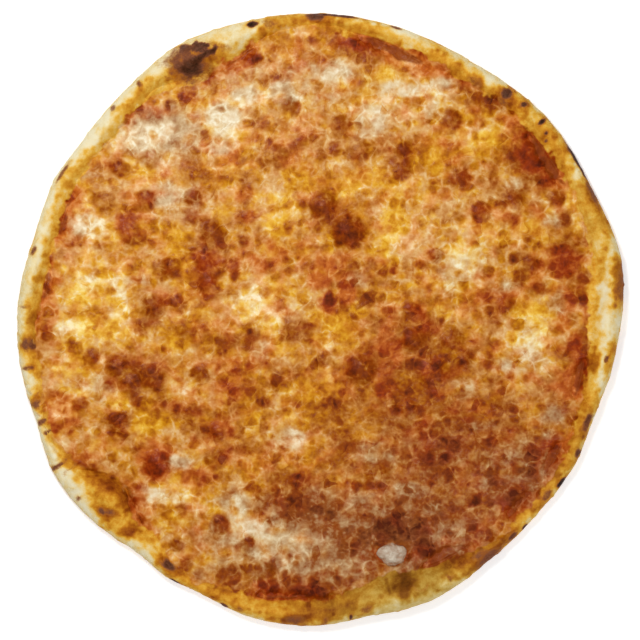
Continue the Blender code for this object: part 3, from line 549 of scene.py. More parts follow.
def sauce_top(degrees, depth):
    grown = smoothstep((depth - sauce_edge(degrees)) / EDGE_RUN)
    thickness = SAUCE_THICKNESS * mix(EDGE_SHARE, 1, grown)
    return slope_height(degrees, depth) + LAYER_GAP + thickness


def higher(a, b):
    """The higher of two heights, rounded where they meet."""
    return (a + b + np.sqrt((a - b) ** 2 + 1.0)) / 2


def bed_height(degrees, depth):
    """What the sauce's top is laid to where it lies bare: it fills the groove by the rim."""
    return higher(slope_height(degrees, depth) + 0.6, BED_LEVEL)


def cheese_level(degrees, depth):
    """The cheese's top where it is whole: level, and a little way up the rim's slope."""
    return higher(slope_height(degrees, depth) + 1.0, SEAT_HEIGHT)


def blister_height(x, y):
    total = np.zeros(np.shape(x))
    for bx, by, radius, top in BLISTERS:
        away = np.hypot(x - bx, y - by) / (radius * BLISTER_SKIRT)
        total += (top * dome(away)) ** 3
    return np.cbrt(total)


def rim_relief(degrees, depth, x, y):
    height = 0.7 * waves(x, y, 17.0, 320)
    for *oval, top in RIM_BUBBLES:
        height = height + top * dome(off_oval(degrees, depth, *oval))
    for *line, half_width, top in FOLDS:
        height = height + top * np.exp(-((off_line(x, y, *line) / half_width) ** 2))
    for ring in RIM_RINGS:
        height = height + 0.7 * ring_line(x, y, *ring, RING_LINE)
    return height * smoothstep((sauce_edge(degrees) - depth) / 3.0)


def off_line(x, y, from_x, from_y, to_x, to_y):
    """How far points are from a straight line between two others."""
    along_x, along_y = to_x - from_x, to_y - from_y
    share = ((x - from_x) * along_x + (y - from_y) * along_y) / (along_x**2 + along_y**2)
    share = np.clip(share, 0, 1)
    return np.hypot(x - from_x - share * along_x, y - from_y - share * along_y)


def ring_line(x, y, ring_x, ring_y, radius, half_width):
    """1 on the lower side of a ring, which is open at its top, and 0 off it."""
    away = (np.hypot(x - ring_x, y - ring_y) - radius) / half_width
    return np.exp(-(away**2)) * smoothstep((0.5 * radius - (y - ring_y)) / radius)


def off_oval(degrees, depth, middle, middle_depth, half_length, half_width):
    """How far points are from the middle of an oval on the rim, with 1 at its edge."""
    off_middle = (degrees - middle + 180) % 360 - 180
    along = np.radians(off_middle) * around(OUTLINE, middle)
    return np.hypot(along / half_length, (depth - middle_depth) / half_width)


def along_rim(degrees):
    """About how far along the rim points are, in millimetres."""
    return np.radians(degrees % 360) * 200


def plan_shift():
    """From the tables' middle to the frame's, which is the middle of the solids' extent."""
    x, y = on_plan(np.arange(0, 360, 0.25), 0.0)
    low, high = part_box("crust")
    middle = (np.array(low[:2]) + np.array(high[:2])) / 2 / MM
    return middle - ((x.min() + x.max()) / 2, (y.min() + y.max()) / 2)


SHIFT = plan_shift()

# ------------------------------
# Meshes: closed shells put together from discs and rings.

FINE_CELLS = 300  # cells across the cheese
RING_POINTS = 4 * FINE_CELLS
COARSE_CELLS = FINE_CELLS // 4  # cells across discs that are hidden or flat
DISC_GAP = 3  # from a ring to the coarse disc inside it


def disc_grid(cells):
    """A square grid laid on a disc: the share of the radius and the angle of each point."""
    side = np.linspace(-1, 1, cells + 1)
    a, b = np.meshgrid(side, side, indexing="ij")
    wide = np.abs(a) > np.abs(b)
    reach = np.where(wide, a, b)
    lean = np.divide(np.where(wide, b, a), reach, out=np.zeros_like(a), where=reach != 0)
    turn = np.where(wide, 45 * lean, 90 - 45 * lean) + np.where(reach < 0, 180, 0)
    return np.abs(reach).ravel(), turn.ravel()


def ring_degrees(count):
    """Angles of a ring's points, which start at a disc grid's first corner."""
    return 225 + 360 * np.arange(count) / count


class Shell:
    """The points and faces of one closed piece. Upward faces run anticlockwise from above."""

    def __init__(self):
        self.points = []
        self.faces = []
        self.count = 0

    def add(self, x, y, z):
        """Adds points and returns their numbers."""
        x, y, z = np.broadcast_arrays(x, y, z)
        self.points.append(np.stack([x.ravel(), y.ravel(), z.ravel()], -1))
        first = self.count
        self.count += x.size
        return np.arange(first, self.count)

    def add_faces(self, corners, up):
        self.faces.append(corners if up else corners[:, ::-1])

    def disc(self, cells, place, up):
        """A disc of points that place(share, degrees) gives. Returns its rim's points."""
        ids = self.add(*place(*disc_grid(cells))).reshape(cells + 1, cells + 1)
        corners = (ids[:-1, :-1], ids[1:, :-1], ids[1:, 1:], ids[:-1, 1:])
        self.add_faces(np.stack([c.ravel() for c in corners], -1), up)
        sides = (ids[:-1, 0], ids[-1, :-1], ids[:0:-1, -1], ids[0, :0:-1])
        return np.concatenate(sides)

    def strip(self, outer, inner, up=True):
        """Faces between two rings of as many points."""
        corners = (outer, np.roll(outer, -1), np.roll(inner, -1), inner)
        self.add_faces(np.stack(corners, -1), up)

    def widen(self, fine, coarse, up=True):
        """Triangles from an outer ring to an inner ring with a quarter of its points."""
        a, b, c, d = fine.reshape(-1, 4).T
        e = np.roll(a, -1)
        here, there = coarse, np.roll(coarse, -1)
        for corners in ((a, b, here), (b, c, here), (c, there, here), (c, d, there), (d, e, there)):
            self.add_faces(np.stack(corners, -1), up)

    def all_points(self):
        return np.concatenate(self.points)

    def all_faces(self):
        return [face for group in self.faces for face in group.tolist()]


def level_disc(depth_at, height):
    """How a disc places its points at one height, inside a ring at depth_at(degrees)."""

    def place(share, degrees):
        reach = (around(OUTLINE, degrees) - depth_at(degrees) - DISC_GAP) * share
        return *polar(reach, degrees), height

    return place


def make_piece(name, node, shell, fields, finish):
    """The shell as an object that stands for a node of the frame, with its fields as attributes."""
    mesh = bpy.data.meshes.new(name)
    moved = (shell.all_points() + (*SHIFT, 0)) * MM
    mesh.from_pydata(moved.tolist(), [], shell.all_faces())
    for key, values in fields.items():
        attribute = mesh.attributes.new(key, "FLOAT", "POINT")
        attribute.data.foreach_set("value", np.clip(values, 0, 1).astype(np.float32))
    mesh.shade_smooth()
    mesh.materials.append(finish)
    piece = bpy.data.objects.new(name, mesh)
    bpy.context.scene.collection.objects.link(piece)
    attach(piece, "root")
    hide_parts(node)


# ------------------------------
# The cheese.

MEAN_BROWN = 0.48
AREAS_SHARE = 0.42  # how much of the areas' strength counts
DARK_BROWN = 0.66  # above this, spots and areas darken half as much
BLISTER_BROWN = 0.6
LACE = ((6.0, 0.22), (3.2, 0.16))  # the skin's relief: (length, height)


def warped(x, y, amount, length, seed):
    """Points pushed about a little, so that round things come out uneven."""
    return x + amount * waves(x, y, length, seed), y + amount * waves(x, y, length, seed + 1)


def cheese_fields(x, y):
    """How browned, how dry, how sauce-stained and how white the cheese is at each point. The
    browning also holds painted shade toward the lower right and painted light toward the top.
    """
    degrees, depth = degrees_and_depth(x, y)
    wx, wy = warped(*warped(x, y, 2.0, 15, 401), 0.8, 6, 411)
    cloud = layered_waves(x, y, ((40, 0.04), (20, 0.08), (10, 0.09), (5, 0.07)), 421)
    spots = 0.16 * scattered(wx, wy, 13, 2.4, 5.5, 431, 0.6)
    for strength, table in SPOTS.items():
        spots = np.maximum(spots, patches(wx, wy, [(*spot, strength) for spot in table], 0.7))
    pale = patches(wx, wy, PALE_PATCHES, 1.3)
    start, full, fading, end = EDGE_BAND
    beside = smoothstep((depth - start) / (full - start))
    beside = beside * smoothstep((end - depth) / (end - fading))
    # The areas brown the cheese, and their broadest ovals also paint shade at the lower right and
    # light at the top.
    brown = MEAN_BROWN + cloud + AREAS_SHARE * added_up(wx, wy, BAKE_AND_SHADE_AREAS)
    brown = brown + around(EDGE_BROWN, degrees) * beside
    brown = brown + spots * np.clip(1.5 - 1.1 * brown, 0.4, 1.2)
    brown = np.minimum(brown, mix(DARK_BROWN, brown, 0.5))
    uneven = 1 + 0.16 * waves(x, y, 8, 481)
    for bx, by, radius, top in BLISTERS:
        away = np.hypot(wx - bx, wy - by) / radius * uneven
        darkness = BLISTER_BROWN + 0.075 * top + 0.08 * waves(x, y, 5, 491)
        share = smoothstep((1.3 - away) / 0.65) * (1 - 0.6 * pale)
        brown = np.maximum(brown, mix(brown, darkness, share))
    thin = smoothstep(1 - (depth - cheese_edge(degrees)) / 10) * bare_sauce(degrees)
    stain = patches(wx, wy, SAUCE_STAINS, 1.2)
    tint = layered_waves(x, y, ((34, 0.4), (13, 0.4), (5, 0.25)), 461)
    oil = patches(wx, wy, OILY_PATCHES, 1.4)
    red = 0.3 + 0.95 * layered_waves(x, y, ((26, 0.4), (11, 0.45), (6, 0.3)), 465)
    return {
        "brown": brown + 0.08 * np.maximum(thin, stain),
        "dry": 0.52 + 0.8 * tint - 0.38 * oil + 0.3 * pale,
        "stain": np.maximum(red, 0) * (1 - 0.6 * oil) + np.maximum(0.9 * stain, 0.7 * thin),
        "white": pale * (0.75 + 0.5 * waves(x, y, 9, 471)),
    }


def cheese_relief(x, y, fields):
    """Height above the plain melted sheet: swells, dimples, blisters and the skin's pattern."""
    swell = 0.5 * waves(x, y, 24.0, 501) + 0.3 * waves(x, y, 9.0, 502)
    spots = np.clip(fields["brown"], 0, 1)
    skin = layered_waves(x, y, LACE, 511)
    wrinkles = 0.35 * np.abs(waves(x, y, 4.0, 521)) * np.clip(blister_height(x, y) / 2, 0, 1)
    return swell + skin + 0.5 * (spots - 0.4) + blister_height(x, y) - wrinkles


def cheese_top(x, y, edge, fields):
    degrees, depth = degrees_and_depth(x, y)
    bare = bare_sauce(degrees)
    ground = slope_height(degrees, edge) + rim_relief(degrees, edge, *on_plan(degrees, edge)) - 0.5
    ground = mix(ground, bed_height(degrees, edge) - 1.0, bare)
    lip = smoothstep((depth - edge + 0.4) / mix(3.5, 6.5, bare))
    relief = cheese_relief(x, y, fields) * smoothstep((depth - edge) / 3.5)
    height = mix(ground, cheese_level(degrees, depth), lip) + relief
    away = np.hypot(x - LUMP_AT[0], y - LUMP_AT[1])
    height = mix(height, SEAT_HEIGHT, smoothstep((LUMP_SEAT - away) / (LUMP_SEAT / 3)))
    turned = np.arctan2(y - LUMP_AT[1], x - LUMP_AT[0]) - LUMP_TURN
    lump = np.hypot(np.cos(turned) / LUMP_SIZE[0], np.sin(turned) / LUMP_SIZE[1])
    collar = np.exp(-(((2 * away * lump - 1.05) / 0.3) ** 2))
    return height + LUMP_COLLAR * collar * (1 + 0.4 * waves(x, y, 6, 531))


def closer_near_rim(share):
    """Draws a disc's outer rings together, for a finer edge."""
    return share + 0.7 * share**20 * (1 - share)


def make_cheese(finish):
    shell = Shell()

    def top(share, degrees):
        edge = ragged_cheese_edge(degrees)
        x, y = polar((around(OUTLINE, degrees) - edge) * closer_near_rim(share), degrees)
        return x, y, cheese_top(x, y, edge, cheese_fields(x, y))

    def under(share, degrees):
        reach = (around(OUTLINE, degrees) - ragged_cheese_edge(degrees) - 2) * share
        x, y = polar(reach, degrees)
        return x, y, sauce_top(*degrees_and_depth(x, y)) + LAYER_GAP

    rim = shell.disc(FINE_CELLS, top, up=True)
    degrees = ring_degrees(RING_POINTS)
    edge = ragged_cheese_edge(degrees)
    low = shell.add(*on_plan(degrees, edge + 0.4), slope_height(degrees, edge) - 1.6)
    shell.strip(low, rim)
    shell.widen(low, shell.disc(COARSE_CELLS, under, up=False), up=False)
    make_piece("melted_cheese", "cheese", shell, surface_fields(shell), finish)


# ------------------------------
# The sauce.


TOP_SHARES = np.linspace(0, 1, 30) ** 1.3  # where its top's rings lie, closer at the edge
UNDER_SHARES = (0.08, 0.2, 0.35, 0.55, 0.75, 1)


def level_depth(degrees):
    """From here inwards the sauce is level."""
    return np.maximum(cheese_edge(degrees), foot_depth(degrees)) + 6


def make_sauce(finish):
    shell = Shell()
    degrees = ring_degrees(RING_POINTS)
    edge, inner = ragged_sauce_edge(degrees), level_depth(degrees)
    rings = []
    for share in TOP_SHARES:
        depth = mix(edge, inner, share)
        x, y = on_plan(degrees, depth)
        lip = smoothstep((depth - edge) / 3 + 0.1)
        bumps = layered_waves(x, y, ((9, 0.25), (4, 0.2)), 601) * lip
        ground = slope_height(degrees, depth) + rim_relief(degrees, depth, x, y)
        sunk = smoothstep((depth - ragged_cheese_edge(degrees) - 2) / 3)
        full = mix(bed_height(degrees, depth) + bumps, sauce_top(degrees, depth), sunk)
        height = mix(ground - 0.5, full, lip)
        rings.append(shell.add(x, y, height))
    for outer, inner_ring in itertools.pairwise(rings):
        shell.strip(outer, inner_ring)
    top = level_disc(level_depth, sauce_top(0.0, 90.0))
    shell.widen(rings[-1], shell.disc(COARSE_CELLS, top, up=True))
    outer = rings[0]
    for share in UNDER_SHARES:
        depth = mix(edge, inner, share)
        height = slope_height(degrees, depth) + mix(-1, LAYER_GAP, share)
        under = shell.add(*on_plan(degrees, depth), height)
        shell.strip(outer, under, up=False)
        outer = under
    below = level_disc(level_depth, BASE_THICKNESS + LAYER_GAP)
    shell.widen(outer, shell.disc(COARSE_CELLS, below, up=False), up=False)
    make_piece("tomato_sauce", "sauce", shell, surface_fields(shell), finish)


# ------------------------------
# The dough.

SIDE_RINGS = 26  # from the table up to the crest
SLOPE_RINGS = 34  # from the crest down to the foot


def dough_section(degrees):
    """x, y and z of the rim's rings, from the table round its outside to its inner foot."""
    height, crest = around(RIM_HEIGHT, degrees), CREST_AT * around(RIM_WIDTH, degrees)
    widest = WIDEST_AT * height
    rings = []
    for turn in np.linspace(0, math.pi, SIDE_RINGS):
        low = turn < math.pi / 2
        inset = UNDERCUT if low else crest
        z = widest - (widest if low else height - widest) * math.cos(turn)
        rings.append((inset * (1 - math.sin(turn)), z, (z / height) ** 2))
    foot = foot_depth(degrees)
    for share in np.linspace(0, 1, SLOPE_RINGS)[1:]:
        depth = mix(crest, foot, share)
        rings.append((depth, slope_height(degrees, depth), 1.0))
    grid = []
    for depth, z, share_up in rings:
        x, y = on_plan(degrees, depth)
        grid.append(np.stack([x, y, z + rim_relief(degrees, depth, x, y) * share_up], -1))
    return np.array(grid)


def grid_normals(grid):
    along = np.roll(grid, -1, axis=1) - np.roll(grid, 1, axis=1)
    across = np.gradient(grid, axis=0)
    normals = np.cross(along, across)
    return normals / np.linalg.norm(normals, axis=-1, keepdims=True)


def dough_skin(grid):
    """Small swellings and pits of the rim's skin, which fade out at the table and the foot."""
    x, y, z = np.moveaxis(grid, -1, 0)
    skin = layered_waves(x, y, ((11, 0.35), (5.5, 0.22), (2.8, 0.12)), 701, z)
    degrees, depth = degrees_and_depth(x, y)
    blebs = scattered(along_rim(degrees), depth + z, 9, 1.4, 3.2, 711, 0.45)
    rows = np.arange(len(grid))[:, None]
    fade = smoothstep(rows / 5) * smoothstep((len(grid) - 1 - rows) / 8)
    fade = fade * (1 - 0.9 * smoothstep((depth - sauce_edge(degrees) + 6) / 4))
    return (skin + 0.55 * blebs) * fade


def dough_fields(points):
    """How baked and how charred the dough is, and where cheese covers it. Both also carry painted
    shade: low on the rim's outside, and on its outer right side.
    """
    x, y, z = points.T
    degrees, depth = degrees_and_depth(x, y)
    wobble = layered_waves(x, y, ((16, 2.2), (8, 2.6), (4, 2.2)), 721, z)
    gold = smoothstep((depth - around(PALE_DOUGH, degrees) + wobble + 3) / 7)
    covered = smoothstep((depth - around(GOLDEN_DOUGH, degrees) + 0.8 * wobble + 2.5) / 5)
    bake_and_shade = 0.08 + 0.34 * gold + 0.14 * covered + around(RIM_BAKE, degrees)
    bake_and_shade += 0.2 * layered_waves(x, y, ((30, 0.5), (12, 0.5), (5, 0.5)), 731, z)
    flecks = scattered(along_rim(degrees), depth + z, 9, 1.4, 3.6, 751, 0.6)
    bake_and_shade += 0.2 * flecks * mix(0.2, 1.0, gold)
    # Browner low on the rim's outside: partly a browned edge, partly painted shade where the side
    # curves down away from the light.
    low = 1 - smoothstep((z / around(RIM_HEIGHT, degrees) - 0.2) / 0.6)
    bake_and_shade += 0.3 * low * (1 - gold)
    char_and_shade = np.zeros(len(points))
    near = np.zeros(len(points))
    ragged_at = 1 + 0.4 * layered_waves(x, y, ((7, 0.6), (3.5, 0.6)), 741, z)
    for *oval, strength in CHAR_MARKS:
        away = off_oval(degrees, depth, *oval) * ragged_at
        char_and_shade = np.maximum(char_and_shade, strength * smoothstep((1.4 - away) / 1.0))
        near = np.maximum(near, strength * smoothstep((1.9 - away) / 1.2))
    for *oval, change in BROWN_MARKS:
        away = off_oval(degrees, depth, *oval) * ragged_at
        bake_and_shade += change * smoothstep((1.5 - away) / 1.1)
    bent_x, bent_y = warped(x, y, 1.3, 5, 781)
    for *line, half_width, strength in CHAR_LINES:
        away = off_line(bent_x, bent_y, *line) / half_width * ragged_at
        share = smoothstep((1.8 - away) / 1.4)
        darker = np.maximum(char_and_shade, mix(char_and_shade, strength, share))
        char_and_shade = darker if strength > 0 else char_and_shade + strength * share
    for ring in RIM_RINGS:
        char_and_shade = np.maximum(char_and_shade, 0.34 * ring_line(x, y, *ring, 1.3))
    up = smoothstep((z / around(RIM_HEIGHT, degrees) - 0.1) / 0.2)
    under = smoothstep((1.5 - z) / 1.5) * (depth > 0)
    olive = around(OLIVE_DOUGH, degrees) + 0.3 * layered_waves(x, y, ((20, 0.6), (8, 0.6)), 761, z)
    below = 0.24 + 0.16 * layered_waves(x, y, ((60, 0.6), (25, 0.6)), 791)
    return {
        "bake_and_shade": mix(bake_and_shade + 0.2 * near, below, under), "char_and_shade": char_and_shade * up, "under": under,
        "covered": covered * (1 - under), "olive": olive * (1 - under),
    }


def bay_field(x, y):
    """1 where sauce lies bare between the cheese and the rim, or shows through the cheese."""
    degrees, depth = degrees_and_depth(*warped(x, y, 1.6, 6, 771))
    outer = smoothstep((depth - sauce_edge(degrees) + 0.8) / 3)
    inner = smoothstep((cheese_edge(degrees) + 1.5 - depth) / 5)
    stain = patches(*warped(x, y, 1.5, 6, 611), SAUCE_STAINS, 1.2)
    bay = 0.62 * outer * inner * bare_sauce(degrees)
    return (bay + 0.3 * stain * smoothstep((depth - 8) / 5)) * (1 + 0.5 * waves(x, y, 8, 621))


def surface_fields(shell):
    """Every field that the materials of the dough, the sauce and the cheese read."""
    points = shell.all_points()
    x, y = points[:, :2].T
    fields = {**cheese_fields(x, y), **dough_fields(points), "bay": bay_field(x, y)}
    degrees, depth = degrees_and_depth(x, y)
    wet = smoothstep((depth - sauce_edge(degrees) + 1) / 3) * bare_sauce(degrees)
    above = 1 - fields["under"]
    fields["covered"] = np.maximum(fields["covered"], wet) * above
    return {**fields, "bay": fields["bay"] * above}


def make_dough(finish):
    shell = Shell()
    degrees = ring_degrees(RING_POINTS)
    grid = dough_section(degrees)
    grid = grid + grid_normals(grid) * dough_skin(grid)[..., None]
    grid[..., 2] = np.maximum(grid[..., 2], 0)
    rings = [shell.add(*row.T) for row in grid]
    for outer, inner in itertools.pairwise(rings):
        shell.strip(outer, inner)
    inside = shell.disc(COARSE_CELLS, level_disc(foot_depth, BASE_THICKNESS), up=True)
    shell.widen(rings[-1], inside)
    below = shell.disc(COARSE_CELLS, level_disc(lambda degrees: UNDERCUT, 0.0), up=False)
    shell.widen(rings[0], below, up=False)
    make_piece("dough", "crust", shell, surface_fields(shell), finish)


# ------------------------------
# The lump of cheese.


def make_lump(finish):
    bm = bmesh.new()
    bmesh.ops.create_icosphere(bm, subdivisions=6, radius=0.5)
    ways = np.array([v.co for v in bm.verts]) * 2
    faces = [[v.index for v in face.verts] for face in bm.faces]
    bm.free()
    places = ways / 2 * LUMP_SIZE
    knobs = layered_waves(*places.T[:2], ((8, 1.7), (4, 0.9), (2, 0.3)), 801, places[:, 2])
    places = places + ways * knobs[:, None]
    cos, sin = math.cos(LUMP_TURN), math.sin(LUMP_TURN)
    x = LUMP_AT[0] + LUMP_SHIFT + places[:, 0] * cos - places[:, 1] * sin
    y = LUMP_AT[1] + places[:, 0] * sin + LUMP_LONGER * places[:, 1] * cos
    z = SEAT_HEIGHT + LUMP_LOWER * np.maximum(places[:, 2] + LUMP_SUNK * LUMP_SIZE[2], 0)
    shell = Shell()
    shell.add(x, y, z)
    shell.add_faces(np.array(faces), up=True)
    height = (z - SEAT_HEIGHT) / LUMP_SIZE[2]
    make_piece("lump_of_cheese", "cheese_lump", shell, {"height": height}, finish)


# ------------------------------
# Materials. The colours are as they look on a screen, by how browned, charred or pale the place
# is: (share, red, green, blue).

OILY_CHEESE = (
    (0.00, 242, 222, 139), (0.12, 234, 200, 99), (0.24, 224, 173, 57), (0.36, 207, 146, 29),
    (0.48, 188, 119, 11), (0.60, 162, 92, 4), (0.72, 137, 62, 0), (0.86, 110, 41, 0),
    (1.00, 76, 24, 0),
)
DRY_CHEESE = (
    (0.00, 238, 226, 189), (0.12, 227, 201, 151), (0.24, 213, 171, 113), (0.36, 199, 146, 84),
    (0.48, 182, 119, 55), (0.60, 158, 91, 29), (0.72, 136, 60, 2), (0.86, 110, 40, 0),
    (1.00, 76, 24, 0),
)
STAINED_CHEESE = (
    (0.00, 242, 200, 148), (0.24, 220, 148, 86), (0.48, 186, 94, 32), (0.72, 142, 46, 4),
    (1.00, 74, 17, 0),
)
WHITE_CHEESE = (
    (0.00, 232, 222, 196), (0.24, 210, 188, 150), (0.48, 174, 140, 100), (0.72, 134, 72, 24),
    (1.00, 76, 28, 2),
)
DOUGH = (
    (0.00, 226, 214, 178), (0.10, 224, 206, 158), (0.22, 222, 190, 120), (0.35, 218, 168, 62),
    (0.48, 202, 138, 34), (0.64, 172, 100, 14), (0.82, 134, 62, 6), (1.00, 98, 36, 0),
)
OLIVE = (
    (0.00, 220, 202, 150), (0.20, 204, 176, 104), (0.40, 182, 144, 60), (0.56, 160, 112, 30),
    (0.80, 118, 68, 12), (1.00, 84, 44, 6),
)
CHAR = (
    (0.20, 190, 132, 62), (0.42, 150, 86, 32), (0.58, 120, 68, 42), (0.72, 90, 50, 30),
    (0.86, 58, 31, 16), (1.00, 32, 16, 8),
)
SAUCE = (
    (0.00, 72, 18, 2), (0.30, 104, 36, 4), (0.60, 134, 60, 12), (1.00, 176, 108, 48),
)
# Colours by height up the lump: partly its own darker pinkish-brown base, partly painted shade low
# down and a painted highlight on top.
LUMP_TONE_AND_SHADE = (
    (0.00, 134, 82, 54), (0.22, 158, 118, 90), (0.42, 165, 139, 116), (0.68, 179, 160, 139),
    (1.00, 200, 188, 168),
)
ASH = (122, 80, 60)
SHINE = 0.07


def srgb(red, green, blue):
    """A colour given as it looks on a screen, 0 to 255, in linear light."""
    shares = (c / 255 for c in (red, green, blue))
    return (*(c / 12.92 if c <= 0.04045 else ((c + 0.055) / 1.055) ** 2.4 for c in shares), 1)


class Value:
    """A number or a colour that a finish works out at each point."""

    def __init__(self, finish, socket):
        self.finish = finish
        self.socket = socket

    def __add__(self, other):
        return self.finish.maths("ADD", self, other)

    def __sub__(self, other):
        return self.finish.maths("SUBTRACT", self, other)

    def __mul__(self, other):
        return self.finish.maths("MULTIPLY", self, other)

    def greater(self, other):
        return self.finish.maths("MAXIMUM", self, other)

    def beside(self, output):
        """Another output of the same node."""
        return Value(self.finish, self.socket.node.outputs[output])

    def between(self, low, high, start=0.0, end=1.0):
        """From start to end, as the value goes from low to high."""
        ends = {"From Min": low, "From Max": high, "To Min": start, "To Max": end}
        settings = {"interpolation_type": "SMOOTHSTEP"}
        return self.finish.node("ShaderNodeMapRange", 0, {"Value": self, **ends}, **settings)

    def ramp(self, stops):
        """The colour for the value in a table of (share, red, green, blue)."""
        made = self.finish.node("ShaderNodeValToRGB", "Color", {"Fac": self})
        elements = made.socket.node.color_ramp.elements
        while len(elements) < len(stops):
            elements.new(0.5)
        for element, (at, *colour) in zip(elements, stops):
            element.position = at
            element.color = srgb(*colour)
        return made

    def blend(self, colour, other):
        """The first colour where the value is 0, and the other where it is 1."""
        sockets = {"Factor": self, 6: colour, 7: other}
        return self.finish.node("ShaderNodeMix", 2, sockets, data_type="RGBA")


class Finish:
    """A material under construction."""

    def __init__(self, name):
        self.material = bpy.data.materials.new(name)
        self.material.use_nodes = True
        self.tree = self.material.node_tree
        self.place = self.node("ShaderNodeTexCoord", "Object")

    def plug(self, socket, value):
        if isinstance(value, Value):
            self.tree.links.new(value.socket, socket)
        else:
            socket.default_value = value

    def node(self, kind, output, inputs=(), **settings):
        """One output of a new node."""
        made = self.tree.nodes.new(kind)
        for key, value in settings.items():
            setattr(made, key, value)
        for key, value in dict(inputs).items():
            self.plug(made.inputs[key], value)
        return Value(self, made.outputs[output])

    def field(self, name):
        return self.node("ShaderNodeAttribute", "Fac", attribute_name=name)

    def maths(self, operation, *values):
        return self.node("ShaderNodeMath", 0, enumerate(values), operation=operation)

    def vector_maths(self, operation, *values):
        return self.node("ShaderNodeVectorMath", 0, enumerate(values), operation=operation)

    def noise(self, length_mm, detail=2.0, roughness=0.6, seed=0.0):
        """Noise about zero, from about -0.5 to 0.5, whose bumps are about that long."""
        return self.node("ShaderNodeTexNoise", "Fac", {
            "Vector": self.vector_maths("ADD", self.place, (seed, seed, seed)),
            "Scale": 1 / (length_mm * MM), "Detail": detail, "Roughness": roughness,
        }) - 0.5

    def warp(self, length_mm, reach_mm):
        """Places moved about by noise, so that round shapes come out uneven."""
        scale, reach = 1 / (length_mm * MM), reach_mm * MM
        sockets = {"Vector": self.place, "Scale": scale, "Detail": 0.0}
        random = self.node("ShaderNodeTexNoise", "Color", sockets)
        off = self.vector_maths("MULTIPLY_ADD", random, (2 * reach,) * 3, (-reach,) * 3)
        return self.vector_maths("ADD", self.place, off)

    def cells(self, place, size_mm, feature, seed):
        moved = self.vector_maths("ADD", place, (seed, seed, 0))
        return self.node(
            "ShaderNodeTexVoronoi", "Distance", {"Vector": moved, "Scale": 1 / (size_mm * MM)},
            voronoi_dimensions="2D", feature=feature,
        )

    def bubbles(self, place, size_mm, smallest, largest, seed=0.0):
        """Round soft spots of random size and strength, from 0 to 1, one to a cell."""
        away = self.cells(place, size_mm, "F1", seed)
        random = self.node("ShaderNodeSeparateColor", "Red", {"Color": away.beside("Color")})
        inside = random * (largest - smallest) + smallest - away
        return inside.between(-0.16, 0.14) * (random.beside("Green") * 0.7 + 0.3)

    def cell_edges(self, place, size_mm, width, seed):
        """Lines between cells: 1 on a line and 0 off it."""
        return self.cells(place, size_mm, "DISTANCE_TO_EDGE", seed).between(0.0, width, 1.0, 0.0)

    def bump(self, height, distance_mm):
        sockets = {"Height": height, "Strength": 1.0, "Distance": distance_mm * MM}
        self.set(Normal=self.node("ShaderNodeBump", "Normal", sockets))

    def set(self, **values):
        for key, value in values.items():
            self.plug(self.tree.nodes["Principled BSDF"].inputs[key.replace("_", " ")], value)


def skin_of(finish):
    """Browned bubbles with grain between them, about zero, the bubbles alone and pale strands."""
    place = finish.warp(7.0, 2.4)
    large = finish.bubbles(place, 15.0, -0.1, 0.4)
    medium = finish.bubbles(place, 9.0, 0.0, 0.46, seed=0.2)
    small = finish.bubbles(place, 4.6, -0.1, 0.5, seed=0.4)
    creamy = finish.bubbles(place, 8.0, -0.1, 0.5, seed=0.8)
    mid = finish.noise(5.0, detail=1, roughness=0.5, seed=6.0)
    grain = finish.noise(2.1, detail=1, roughness=0.5)
    skin = large * 0.15 + medium * 0.18 + small * 0.07 - creamy * 0.13 - 0.075
    skin = skin + (mid + grain) * 0.24
    wide = finish.cell_edges(place, 9.0, 0.2, seed=0.2)
    wide = wide * finish.noise(11, seed=1.0).between(-0.12, 0.16)
    rings = finish.cell_edges(place, 4.6, 0.3, seed=0.4)
    rings = rings * finish.noise(8, seed=2.0).between(-0.06, 0.2)
    broken = finish.noise(3.4, seed=8.0).between(-0.2, 0.12, 0.25, 1.15)
    return skin, medium.greater(small * 0.6), wide.greater(rings * 0.9) * broken


def cheese_colour(finish, skin, bubbles, strands):
    """Cheese from cream to nearly black: oily and yellow, dry and pink, stained red, or white."""
    white = finish.field("white")
    dryness = finish.field("dry") + finish.noise(7.0, seed=5.0) * 0.9
    dryness = (dryness - bubbles * 0.5 + strands * 0.4).between(0.1, 0.9)
    lacy = strands * (dryness * 0.06 + white * 0.06 + 0.07)
    brown = finish.field("brown") + skin - lacy
    colour = dryness.blend(brown.ramp(OILY_CHEESE), brown.ramp(DRY_CHEESE))
    stain = finish.field("stain") + finish.noise(6.0, seed=3.0) * 0.6
    colour = stain.between(0.0, 1.0, 0.0, 0.85).blend(colour, brown.ramp(STAINED_CHEESE))
    whiteness = (white - skin * 0.9).between(0.1, 0.9, 0.0, 0.85)
    return whiteness.blend(colour, brown.ramp(WHITE_CHEESE)), brown


def dough_colour(finish, skin):
    """Dough from cream through gold to brown, with its charred marks and browned underside, and
    painted shade on the rim's outer side.
    """
    grain = finish.noise(4.0, detail=4, roughness=0.65)
    specks = finish.noise(1.3, detail=2, seed=2.0)
    under = finish.field("under")
    leopard = finish.bubbles(finish.place, 17.0, -0.1, 0.42, seed=0.6)
    leopard = leopard + finish.bubbles(finish.place, 8.0, -0.2, 0.46, seed=0.7)
    bake_and_shade = finish.field("bake_and_shade") + grain * 0.34 + specks * 0.16 + skin * 0.5
    bake_and_shade = bake_and_shade + under * (leopard * 0.3 + 0.02)
    colour = finish.field("olive").blend(bake_and_shade.ramp(DOUGH), bake_and_shade.ramp(OLIVE))
    char_and_shade = finish.field("char_and_shade") + grain * 0.34 + specks * 0.3 + under * leopard * 0.55
    ash = finish.noise(4.0, seed=7.0).between(-0.05, 0.2, 0.0, 0.3)
    return char_and_shade.between(0.1, 0.62).blend(colour, ash.blend(char_and_shade.ramp(CHAR), srgb(*ASH)))


